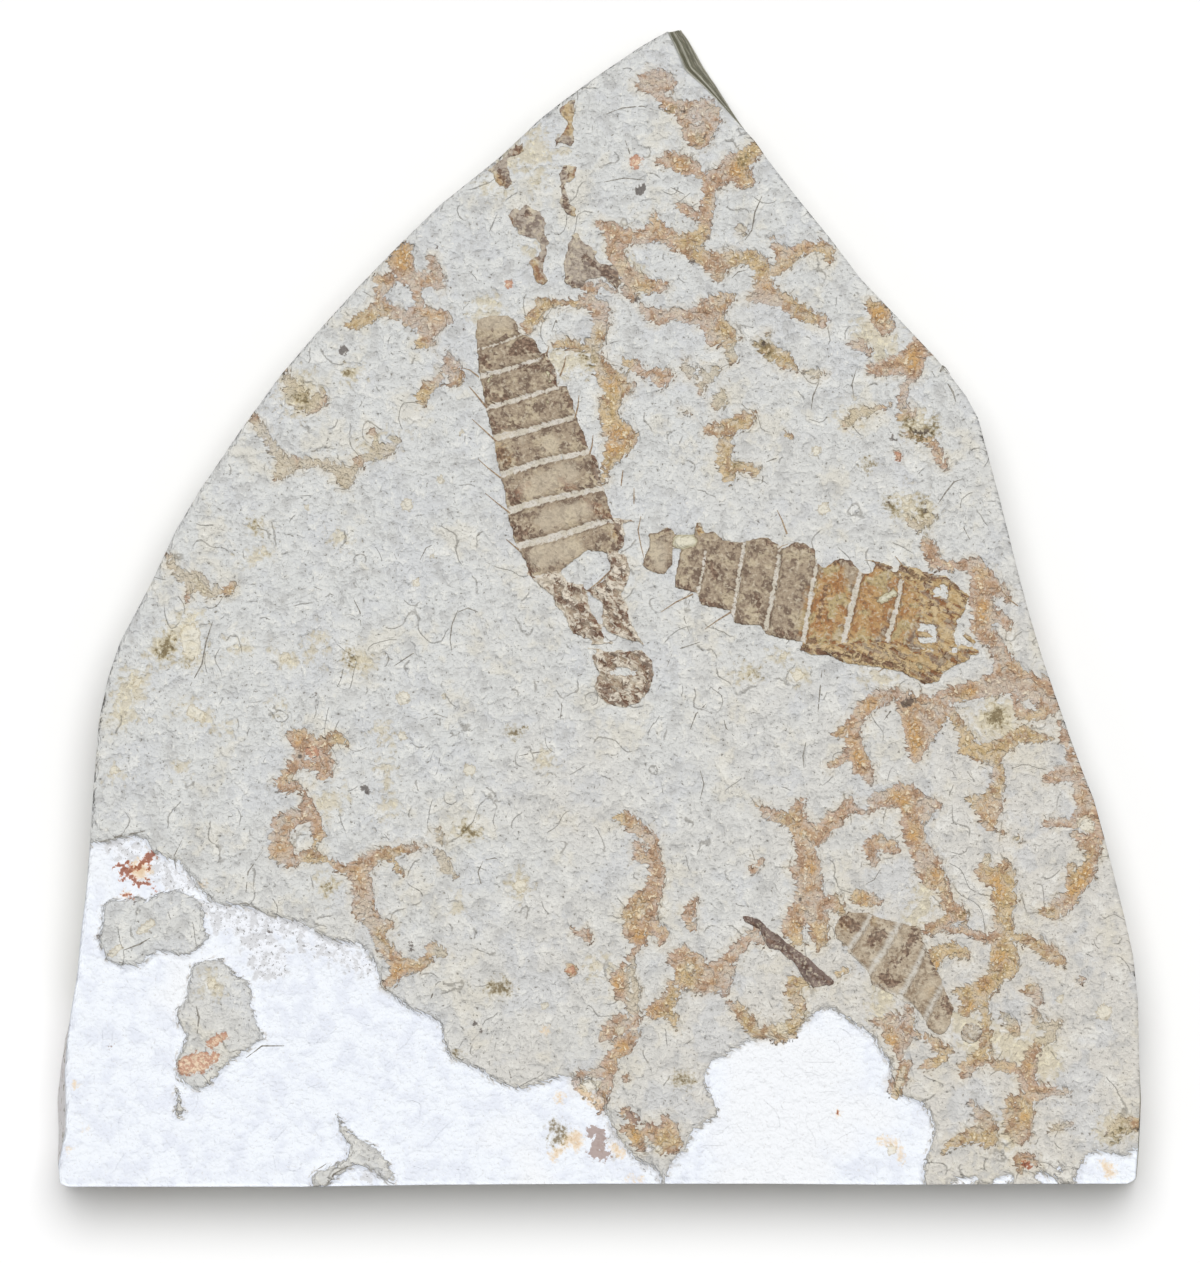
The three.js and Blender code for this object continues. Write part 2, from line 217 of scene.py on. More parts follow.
# %% The silhouette and the rim
# Counter-clockwise from the tip
SILHOUETTE_PX = [
    (683, 26), (668, 31), (640, 47), (600, 74), (563, 101), (540, 119), (500, 157), (470, 181), (440, 205),
    (400, 244), (360, 285), (320, 329), (280, 376), (240, 431), (200, 490), (175, 532), (155, 575),
    (138, 608), (120, 642), (108, 678), (99, 720), (94, 780), (90, 840), (86, 890), (80, 940), (77, 975),
    (71, 1010), (62, 1040), (57, 1070), (53, 1100), (54, 1130), (55, 1165), (60, 1184), (68, 1187),
    (160, 1187), (300, 1187), (440, 1185), (600, 1184), (760, 1184), (900, 1185), (1040, 1184), (1130, 1186),
    (1139, 1182), (1142, 1150), (1144, 1100), (1141, 1050), (1138, 1000), (1133, 955), (1124, 915),
    (1114, 875), (1105, 840), (1094, 800), (1084, 775), (1071, 740), (1057, 700), (1043, 660), (1031, 620),
    (1020, 580), (1010, 540), (1000, 500), (992, 470), (984, 440), (978, 418), (966, 396), (950, 375),
    (935, 357), (900, 320), (860, 278), (830, 238), (799, 200), (768, 160), (755, 141), (741, 120),
    (730, 101), (717, 80), (704, 59), (692, 37),
]
# How far right and how far down the rim lies from a corner of the silhouette, where it isn't on it
RIM_SHIFTS_PX = {
    (683, 26): (-16, 7), (62, 1040): (5, 0), (57, 1070): (8, 0), (53, 1100): (13, 0), (54, 1130): (12, 0),
    (55, 1165): (3, 0), (1130, 1186): (-2, -2), (1139, 1182): (-3, -3), (1142, 1150): (-4, 0),
    (1144, 1100): (-4, 0), (1141, 1050): (-2, 0), (741, 120): (-4, 2), (730, 101): (-8, 5),
    (717, 80): (-13, 8), (704, 59): (-20, 12), (692, 37): (-18, 11),
}
GRID_STEP = 0.37 * MM
RIM_STEP = 0.35 * MM

silhouette = outline_on_stone(SILHOUETTE_PX)
rim_shifts = [RIM_SHIFTS_PX.get(corner, (0, 0)) for corner in SILHOUETTE_PX]
rim = outline_on_stone([(x + right, y + down) for (x, y), (right, down) in zip(SILHOUETTE_PX, rim_shifts)])


def walk_round(corners, guide, step):
    """Evenly spaced points round closed corners, spaced by the length of the guide's sides."""
    sides = np.linalg.norm(np.roll(guide, -1, axis=0) - guide, axis=1)
    travelled = np.concatenate([[0], np.cumsum(sides)])
    stops = np.arange(0, travelled[-1], step)
    closed = np.vstack([corners, corners[:1]])
    return np.column_stack([np.interp(stops, travelled, closed[:, axis]) for axis in (0, 1)])


rim_points = walk_round(rim, silhouette, RIM_STEP)
foot_points = walk_round(silhouette, silhouette, RIM_STEP)
print("points round the rim:", len(rim_points))

# %% [markdown]
# ## The white bed
# The grey bed is only about half a millimetre thick. Along the lower edge it has flaked off, down to a
# chalk-white bed, and a few grey flakes are left standing there. Near that border small chips are off the
# grey bed too. Each area is a closed outline and each chip a short stroke.

# %% The borders of the white bed
WHITE_LEFT_PX = [
    (40, 846), (100, 843), (112, 841), (135, 835), (147, 840), (152, 850), (168, 858), (180, 862),
    (190, 876), (203, 892), (212, 902), (232, 905), (250, 907), (268, 914), (284, 918), (303, 922),
    (315, 932), (328, 938), (345, 942), (360, 944), (370, 955), (378, 968), (381, 986), (396, 998),
    (410, 1009), (430, 1015), (441, 1022), (444, 1040), (451, 1057), (464, 1063), (478, 1068), (492, 1078),
    (505, 1085), (522, 1088), (540, 1083), (558, 1077), (572, 1076), (583, 1084), (590, 1078), (597, 1088),
    (598, 1102), (606, 1110), (612, 1126), (622, 1142), (634, 1157), (650, 1165), (660, 1172), (664, 1200),
    (40, 1200),
]
WHITE_MIDDLE_PX = [
    (664, 1200), (666, 1172), (674, 1158), (685, 1150), (690, 1138), (694, 1129), (706, 1122), (715, 1118),
    (718, 1110), (712, 1098), (705, 1085), (705, 1072), (711, 1061), (722, 1057), (736, 1047), (750, 1040),
    (768, 1036), (788, 1037), (800, 1027), (811, 1016), (822, 1007), (832, 1009), (846, 1018), (862, 1028),
    (874, 1036), (880, 1049), (890, 1062), (893, 1080), (898, 1093), (909, 1098), (921, 1101), (929, 1112),
    (935, 1128), (931, 1146), (925, 1164), (924, 1200),
]
WHITE_CORNER_PX = [
    (1072, 1200), (1076, 1176), (1083, 1160), (1092, 1151), (1108, 1152), (1122, 1156), (1134, 1150),
    (1150, 1148), (1150, 1200),
]
GREY_FLAKES_PX = [
    [
        (103, 922), (104, 905), (113, 899), (122, 903), (132, 897), (146, 901), (160, 893), (178, 890),
        (196, 900), (204, 912), (203, 926), (208, 938), (199, 948), (188, 955), (172, 953), (158, 950),
        (148, 956), (140, 965), (122, 966), (108, 961), (103, 950), (99, 938),
    ],
    [
        (192, 966), (205, 961), (220, 960), (229, 968), (234, 975), (246, 981), (252, 990), (250, 1003),
        (256, 1019), (258, 1030), (264, 1038), (250, 1046), (240, 1056), (228, 1062), (218, 1074),
        (210, 1084), (199, 1090), (187, 1085), (178, 1076), (177, 1060), (183, 1047), (188, 1034),
        (179, 1024), (176, 1010), (185, 1003), (188, 990), (190, 978),
    ],
    [
        (336, 1114), (343, 1121), (350, 1132), (360, 1139), (374, 1146), (384, 1158), (392, 1172),
        (397, 1183), (380, 1178), (368, 1166), (352, 1166), (338, 1176), (326, 1188), (312, 1186),
        (312, 1174), (330, 1168), (348, 1158), (350, 1146), (342, 1134),
    ],
    [(176, 1086), (181, 1096), (180, 1106), (184, 1113), (179, 1118), (175, 1112), (177, 1102)],
]
WHITE_CHIPS_PX = [
    [(955, 1184, 5), (975, 1180, 3)], [(998, 1184, 6), (1010, 1178, 4)], [(1040, 1176, 5), (1052, 1184, 6)],
    [(1060, 1168, 3)], [(590, 1092, 6), (602, 1102, 5)], [(620, 1152, 4)], [(648, 1150, 4)],
]
WHITE_DEPTH = 0.55 * MM
WHITE_SLOPE = 0.16 * MM


def white_distance(points):
    """How far each point is from the border of the white bed, below zero on the white."""
    white = stroke_distance(points, WHITE_CHIPS_PX)
    for area in (WHITE_LEFT_PX, WHITE_MIDDLE_PX, WHITE_CORNER_PX):
        white = np.minimum(white, outline_distance(points, outline_on_stone(area)))
    for flake in GREY_FLAKES_PX:
        white = np.maximum(white, -outline_distance(points, outline_on_stone(flake)))
    return white


# %% [markdown]
# ## The net of iron stains
# Water that seeped between the beds left a net of iron minerals round cells of clean grey stone. It is
# drawn as brush strokes: chains of points, each with the half-width of the stain there, in pixels.

# %% The strokes of the net
NET_STROKES_PX = [
    # Round the tip
    [(636, 86, 3), (650, 82, 10), (660, 81, 10), (672, 84, 5)],
    [(656, 92, 6), (664, 102, 4), (674, 108, 6), (686, 108, 7), (698, 105, 5), (708, 108, 7), (716, 112, 4),
     (718, 122, 3)],
    [(684, 112, 7), (688, 124, 7), (694, 136, 8), (702, 140, 6), (708, 128, 7), (705, 116, 6)],
    [(656, 162, 2), (672, 160, 7), (684, 165, 9), (698, 171, 4), (706, 180, 4)],
    [(757, 147, 7), (747, 158, 8), (733, 166, 11), (742, 178, 9), (753, 182, 4)],
    [(733, 168, 10), (718, 178, 7), (709, 188, 5), (708, 202, 5), (706, 216, 5), (705, 230, 5),
     (699, 239, 6)], [(678, 206, 3), (688, 211, 5), (700, 217, 4)], [(742, 230, 5)],
    [(600, 224, 5), (612, 231, 7), (628, 237, 7), (644, 236, 6), (658, 232, 7), (670, 238, 6),
     (684, 241, 7), (697, 239, 6)], [(655, 215, 3), (658, 226, 5)],
    [(674, 246, 4), (692, 254, 5), (706, 259, 7), (714, 264, 9), (718, 276, 6)],
    [(614, 240, 6), (615, 254, 7), (622, 267, 7), (634, 279, 7), (648, 286, 7), (664, 286, 5)],
    [(626, 276, 6), (630, 290, 5), (633, 300, 3)], [(602, 283, 3), (614, 291, 3)],
    [(584, 286, 4), (592, 290, 6)],
    [(716, 262, 8), (732, 259, 7), (748, 257, 6), (760, 263, 7), (764, 276, 8), (765, 290, 9)],
    [(772, 240, 3), (779, 251, 5), (785, 261, 7), (776, 270, 5)],
    [(790, 254, 5), (806, 248, 6), (822, 246, 5), (833, 251, 3)], [(826, 250, 3), (830, 262, 2)],
    [(750, 298, 4), (762, 293, 8), (773, 297, 8), (786, 302, 7), (799, 311, 7), (812, 319, 5),
     (823, 322, 6)],
    # Between the tip and the upper larva
    [(538, 302, 3), (556, 303, 3), (574, 303, 3), (590, 302, 4), (600, 311, 8), (601, 326, 7),
     (597, 340, 6)], [(597, 340, 5), (591, 350, 4)],
    [(556, 345, 3), (566, 342, 5), (578, 346, 4), (590, 350, 4), (597, 360, 6), (605, 374, 9),
     (616, 386, 11), (630, 387, 5)],
    [(616, 388, 11), (611, 402, 8), (608, 415, 8), (614, 430, 10), (625, 438, 11), (616, 450, 10)],
    [(616, 450, 9), (608, 463, 5), (604, 480, 3)], [(545, 305, 5), (536, 315, 7), (527, 328, 6)],
    [(625, 363, 4), (634, 365, 5), (646, 373, 3), (656, 376, 6), (668, 376, 6)],
    [(660, 378, 6), (661, 388, 2)],
    [(641, 308, 3), (650, 314, 5), (660, 317, 7), (672, 313, 4), (685, 316, 5), (697, 317, 6)],
    [(697, 317, 7), (708, 309, 10), (721, 303, 9), (732, 297, 4)],
    [(706, 312, 9), (711, 325, 9), (713, 338, 8)], [(716, 320, 8), (726, 331, 6), (736, 341, 3)],
    [(728, 346, 4), (734, 358, 5)], [(686, 363, 5), (691, 376, 4)],
    [(700, 372, 3), (708, 377, 5), (717, 370, 4)], [(700, 384, 3), (702, 394, 3)],
    [(722, 392, 4), (720, 402, 5), (714, 408, 2)], [(680, 409, 2), (690, 414, 2)],
    [(706, 430, 3), (718, 429, 6), (732, 426, 6), (744, 422, 7), (753, 415, 3)],
    [(728, 436, 3), (726, 448, 6), (722, 461, 6), (728, 475, 8)],
    [(736, 467, 4), (750, 468, 3), (755, 471, 5)],
    [(758, 345, 4), (772, 353, 6), (784, 360, 7), (793, 368, 4)], [(768, 334, 3)],
    [(806, 370, 2), (814, 374, 4), (823, 373, 2)], [(784, 434, 1), (790, 437, 3)],
    # The left shoulder
    [(408, 246, 4), (402, 257, 9), (404, 268, 9), (408, 277, 7)], [(396, 262, 6), (390, 262, 3)],
    [(410, 277, 7), (424, 279, 6), (436, 281, 8), (443, 286, 3)], [(432, 258, 4), (434, 270, 6)],
    [(416, 284, 5), (417, 296, 3), (420, 306, 5)],
    [(376, 280, 4), (388, 280, 6), (381, 291, 4), (379, 303, 6)],
    [(378, 307, 6), (368, 317, 6), (356, 323, 6), (346, 326, 2)],
    [(384, 310, 6), (398, 314, 5), (410, 317, 6)],
    [(410, 318, 8), (422, 315, 8), (430, 322, 12), (439, 318, 9), (449, 319, 5)],
    [(426, 330, 10), (422, 342, 6), (431, 344, 3)],
    [(446, 354, 2), (450, 364, 6), (458, 376, 6), (452, 383, 3)],
    [(446, 374, 3), (436, 382, 3), (428, 388, 5), (421, 396, 5), (424, 404, 2)],
    [(286, 372, 3), (292, 388, 7), (300, 400, 8), (311, 408, 4), (320, 401, 6), (323, 393, 3)],
    [(254, 418, 4), (262, 432, 4), (272, 446, 4), (280, 457, 5), (286, 468, 6), (276, 478, 3)],
    [(292, 462, 5), (310, 463, 3), (326, 464, 3), (340, 471, 6), (346, 483, 5), (352, 471, 4),
     (362, 459, 4), (376, 453, 5), (388, 451, 4), (396, 440, 4)], [(372, 432, 4), (376, 446, 4)],
    [(168, 555, 3), (172, 566, 3), (182, 575, 5), (194, 579, 7), (203, 587, 6), (206, 595, 4)],
    [(214, 592, 4), (228, 590, 4), (234, 584, 2)], [(190, 584, 4), (187, 600, 2)],
    # The small ring left of the middle
    [(288, 734, 3), (298, 737, 7), (310, 742, 6), (324, 744, 5), (336, 738, 5), (347, 742, 2)],
    [(300, 742, 6), (299, 754, 4), (295, 764, 4), (286, 775, 5), (279, 785, 4), (288, 790, 3),
     (298, 787, 3)], [(304, 748, 5), (316, 752, 5)], [(300, 763, 4), (312, 765, 4), (324, 767, 5)],
    [(322, 750, 4), (328, 760, 5), (326, 771, 5), (322, 779, 3)],
    [(304, 788, 2), (307, 802, 4), (304, 815, 6)],
    [(308, 808, 4), (316, 820, 5), (319, 834, 5), (316, 844, 2)],
    [(304, 816, 5), (294, 818, 7), (283, 825, 11), (279, 838, 8), (281, 851, 11), (290, 862, 6)],
    [(296, 858, 3), (310, 856, 5), (322, 858, 3), (338, 866, 3)],
    [(342, 868, 5), (352, 870, 5), (360, 866, 7), (369, 862, 6), (374, 856, 5), (386, 853, 4),
     (400, 850, 4), (416, 848, 2), (428, 847, 1)], [(390, 856, 3), (396, 866, 2), (402, 876, 2)],
    [(357, 874, 9), (362, 884, 9), (363, 896, 9), (362, 908, 8), (360, 918, 4)],
    [(437, 832, 4), (440, 840, 2)], [(368, 904, 7), (372, 918, 7), (378, 928, 6), (390, 926, 4)],
    [(440, 852, 4), (444, 864, 5), (454, 874, 4)],
    [(376, 930, 6), (380, 942, 5), (388, 952, 5), (396, 961, 7), (406, 966, 7), (418, 966, 5),
     (428, 961, 3)], [(400, 970, 6), (392, 980, 5), (386, 985, 3)],
    [(428, 956, 2), (434, 950, 6), (444, 952, 4)],
    # Down the middle
    [(614, 818, 2), (622, 817, 5), (632, 824, 6), (644, 832, 5), (652, 839, 5), (655, 848, 3)],
    [(654, 848, 3), (654, 858, 5), (657, 869, 7), (655, 884, 7), (650, 896, 10)],
    [(637, 846, 4), (640, 856, 7)],
    [(650, 896, 9), (638, 904, 9), (632, 918, 8), (634, 932, 8), (642, 940, 6)],
    [(650, 904, 8), (648, 926, 8)], [(654, 926, 4), (662, 934, 5), (660, 943, 3)],
    [(636, 946, 3), (632, 960, 3), (634, 976, 2), (636, 990, 3)],
    [(624, 966, 3), (619, 979, 7), (622, 992, 8)], [(636, 990, 3), (632, 1004, 4), (636, 1018, 3)],
    [(634, 1018, 3), (622, 1022, 7), (609, 1031, 6), (603, 1038, 4)],
    [(634, 1022, 4), (632, 1036, 6), (624, 1047, 7), (612, 1057, 4), (606, 1067, 5)], [(620, 1030, 7)],
    [(669, 984, 2), (674, 992, 6), (668, 1001, 6), (660, 1009, 8), (650, 1012, 5)],
    [(668, 1009, 6), (674, 1020, 3), (677, 1030, 1)], [(626, 1078, 3)],
    [(671, 956, 3), (684, 954, 7), (696, 962, 7), (704, 970, 7)],
    [(676, 964, 5), (682, 977, 7), (694, 985, 6), (708, 986, 7), (720, 981, 8), (729, 970, 6)],
    [(706, 974, 7), (722, 966, 6), (732, 956, 5), (742, 945, 5), (752, 935, 5), (757, 929, 2)],
    [(727, 982, 4), (725, 994, 2)], [(757, 938, 4), (766, 945, 2)],
    [(696, 899, 2), (691, 906, 5), (688, 917, 4), (692, 928, 5)],
    [(574, 930, 2), (582, 932, 4), (588, 938, 4)], [(571, 970, 6)], [(755, 869, 5), (760, 861, 3)],
    [(730, 1002, 3), (740, 1010, 5), (749, 1022, 6), (756, 1034, 4), (768, 1031, 5), (780, 1034, 8),
     (790, 1030, 7), (798, 1018, 5), (800, 1004, 4), (792, 994, 6), (794, 982, 6), (808, 984, 4)],
    [(576, 1081, 3), (582, 1074, 3), (594, 1074, 3), (604, 1073, 4), (612, 1066, 4)],
    [(610, 1072, 5), (606, 1086, 4), (601, 1098, 5), (600, 1110, 3)], [(578, 1088, 3), (590, 1097, 3)],
    [(624, 1112, 5), (634, 1119, 5)], [(622, 1130, 3), (630, 1128, 5), (636, 1139, 6), (642, 1148, 4)],
    [(650, 1130, 7), (660, 1138, 8), (670, 1133, 7), (677, 1145, 5), (664, 1151, 4)],
    [(664, 1118, 3), (670, 1126, 4)],
    # The cells left of the lower larva
    [(757, 806, 2), (768, 814, 4), (780, 818, 5), (792, 820, 7)],
    [(803, 799, 2), (798, 810, 5), (798, 824, 9), (806, 838, 11), (822, 832, 7), (834, 820, 7),
     (846, 808, 6), (850, 800, 3)], [(852, 808, 3), (863, 812, 2)],
    [(806, 840, 10), (808, 856, 8), (810, 870, 10), (810, 886, 11)], [(790, 867, 3), (800, 873, 7)],
    [(810, 886, 11), (808, 902, 12), (797, 914, 9), (792, 928, 9), (798, 941, 6)],
    [(812, 908, 10), (818, 922, 9), (820, 938, 7), (818, 948, 2)],
    [(820, 904, 6), (834, 902, 6), (843, 912, 3)], [(838, 974, 3), (848, 970, 3)],
    [(856, 897, 6), (866, 900, 8), (879, 902, 3)],
    [(905, 694, 3), (892, 694, 4), (878, 699, 7), (865, 706, 7), (858, 718, 5), (851, 728, 6),
     (838, 734, 4)], [(853, 732, 5), (854, 742, 7), (857, 755, 8), (863, 768, 8), (870, 780, 5)],
    [(832, 765, 4), (844, 759, 4)],
    # Round the front of the right larva
    [(904, 705, 7), (922, 706, 11), (940, 708, 11)],
    [(914, 716, 13), (918, 732, 12), (917, 748, 9), (915, 759, 5)], [(936, 720, 9), (926, 734, 8)],
    [(951, 711, 6), (959, 724, 3), (967, 738, 6), (966, 748, 6), (980, 753, 8), (996, 750, 7),
     (1008, 742, 7), (1022, 733, 7), (1034, 737, 5), (1049, 740, 2)],
    [(996, 756, 5), (998, 768, 4), (999, 782, 5), (994, 796, 8), (990, 808, 10), (989, 820, 7),
     (990, 829, 3)], [(967, 797, 2), (978, 803, 6), (990, 806, 9)], [(1003, 833, 3)], [(1019, 838, 4)],
    [(1015, 700, 3), (1019, 710, 4), (1030, 717, 4), (1042, 714, 5), (1051, 703, 6)],
    [(872, 808, 5), (876, 800, 6), (890, 798, 8), (908, 794, 9), (922, 803, 8), (938, 806, 4)],
    [(900, 786, 3), (906, 800, 8), (910, 818, 9), (914, 836, 9), (920, 850, 9), (928, 866, 12),
     (934, 880, 9)], [(922, 812, 6), (928, 818, 4)], [(934, 880, 9), (944, 884, 5)],
    [(874, 862, 4), (868, 848, 5), (878, 842, 7), (890, 846, 5), (898, 851, 3)],
    [(942, 884, 4), (946, 894, 4), (948, 904, 5), (958, 914, 7), (965, 919, 4)],
    [(948, 918, 5), (934, 928, 5), (924, 931, 3)],
    [(950, 930, 3), (966, 931, 2), (980, 937, 3), (991, 941, 4)],
    [(934, 966, 6), (936, 954, 7), (950, 948, 6), (965, 954, 5)],
    [(926, 541, 5), (931, 552, 6), (936, 562, 5), (950, 566, 4), (962, 566, 3)],
    [(964, 566, 5), (976, 567, 8), (984, 578, 9), (992, 588, 8), (1002, 591, 5), (1009, 599, 3)],
    [(980, 584, 8), (979, 600, 9), (984, 614, 11), (978, 628, 7), (986, 638, 6)],
    [(986, 614, 9), (1000, 618, 4), (1010, 627, 4)],
    [(990, 636, 7), (1000, 650, 7), (1003, 664, 9), (1010, 680, 12), (994, 686, 10), (976, 690, 9),
     (958, 693, 7), (944, 696, 5)],
    [(1010, 673, 11), (1028, 686, 12), (1042, 690, 11), (1052, 702, 7), (1054, 712, 3)],
    [(1060, 724, 2), (1066, 740, 3), (1072, 757, 4), (1078, 772, 5)],
    # Down the right edge
    [(1048, 779, 4), (1060, 775, 7), (1074, 772, 7), (1080, 784, 6), (1083, 796, 7), (1086, 808, 8)],
    [(1046, 825, 4), (1060, 822, 3), (1074, 824, 4), (1079, 812, 5), (1092, 810, 6), (1100, 824, 3),
     (1097, 838, 6), (1086, 843, 6), (1076, 833, 4)],
    [(1094, 848, 7), (1091, 862, 6), (1085, 876, 8), (1075, 889, 7), (1067, 901, 7), (1055, 910, 8),
     (1043, 911, 4)], [(1070, 866, 4), (1073, 880, 5)],
    [(987, 857, 3), (984, 873, 7), (994, 878, 8), (1006, 868, 6), (1009, 880, 6), (1003, 896, 9),
     (1013, 900, 5)],
    [(1003, 898, 9), (1003, 914, 8), (1004, 928, 8), (1002, 940, 8), (1000, 956, 10), (1006, 968, 9)],
    [(1012, 950, 6), (1012, 966, 7)],
    [(1002, 970, 10), (992, 982, 8), (980, 990, 9), (966, 994, 8), (956, 990, 3)],
    [(1008, 936, 4), (1022, 938, 4), (1036, 944, 6), (1050, 954, 8), (1062, 961, 5)], [(1082, 979, 3)],
    # Round the lower larva
    [(972, 1000, 8), (966, 1010, 6)],
    [(984, 992, 6), (985, 1008, 4), (986, 1022, 4), (987, 1036, 4), (984, 1050, 5), (977, 1060, 6),
     (966, 1068, 6), (962, 1077, 3)], [(984, 1058, 5), (998, 1064, 4), (1012, 1068, 4), (1024, 1072, 4)],
    [(1005, 1017, 5), (1012, 1026, 6), (1016, 1033, 3)], [(1025, 990, 4), (1034, 990, 6), (1038, 1001, 4)],
    [(1034, 1010, 3), (1036, 1022, 4), (1048, 1026, 4), (1060, 1023, 3)],
    [(1050, 1036, 6), (1038, 1044, 4), (1032, 1054, 4), (1028, 1067, 7), (1027, 1080, 6), (1034, 1093, 8),
     (1045, 1091, 4), (1057, 1090, 3), (1070, 1094, 3)],
    [(1012, 1100, 5), (1010, 1114, 7), (1014, 1126, 8), (1022, 1137, 7)],
    [(1022, 1100, 7), (1026, 1114, 6), (1026, 1132, 6)],
    [(970, 1101, 3), (978, 1112, 4), (984, 1122, 8), (980, 1134, 8), (966, 1137, 5), (954, 1142, 5),
     (944, 1150, 3)], [(992, 1128, 4), (994, 1140, 3), (986, 1145, 3)],
    [(1050, 1130, 2), (1060, 1126, 3), (1072, 1124, 2)], [(1112, 1131, 5), (1124, 1126, 7), (1138, 1124, 5)],
    [(1116, 1141, 3)], [(1018, 1160, 4), (1028, 1158, 4), (1036, 1164, 3)], [(1020, 1169, 4)],
    [(908, 1006, 3), (909, 1018, 5), (908, 1030, 5), (903, 1044, 4), (901, 1058, 3)],
    [(877, 1022, 5), (889, 1022, 9), (893, 1037, 8), (898, 1048, 5)],
    [(905, 1065, 5), (902, 1077, 6), (896, 1087, 6), (896, 1094, 5)],
    [(914, 1034, 2), (926, 1038, 3), (938, 1046, 4), (952, 1050, 3)],
    [(943, 1058, 5), (932, 1064, 5), (920, 1067, 2)],
    # The upper right edge
    [(866, 303, 2), (873, 307, 5), (880, 316, 10), (885, 327, 8)],
    [(852, 345, 2), (861, 346, 5), (870, 353, 2)],
    [(870, 370, 4), (882, 368, 7), (896, 366, 9), (908, 362, 9), (915, 350, 8), (918, 341, 6)],
    [(916, 364, 9), (913, 374, 7)], [(920, 350, 7), (929, 353, 4)],
    [(906, 385, 3), (903, 394, 3), (902, 405, 4)],
    [(847, 424, 4), (852, 418, 5), (862, 412, 4), (878, 408, 2), (891, 405, 1)],
    [(900, 418, 4), (912, 412, 5)], [(908, 434, 4), (926, 440, 4)],
    [(932, 440, 4), (938, 456, 4), (945, 467, 3)], [(898, 455, 4)],
    [(908, 520, 3), (918, 528, 3), (931, 520, 2), (939, 511, 2)],
]

# %% [markdown]
# Besides the net there are all kinds of smaller marks: weak tan washes, orange hearts in the stains, olive,
# umber and honey blotches, cream lumps, pink nodules, dark grains, and the rust-red crystals that branch
# over the white bed. "faint" covers the weak parts of the net, and "crust" the gritty parts of the white.

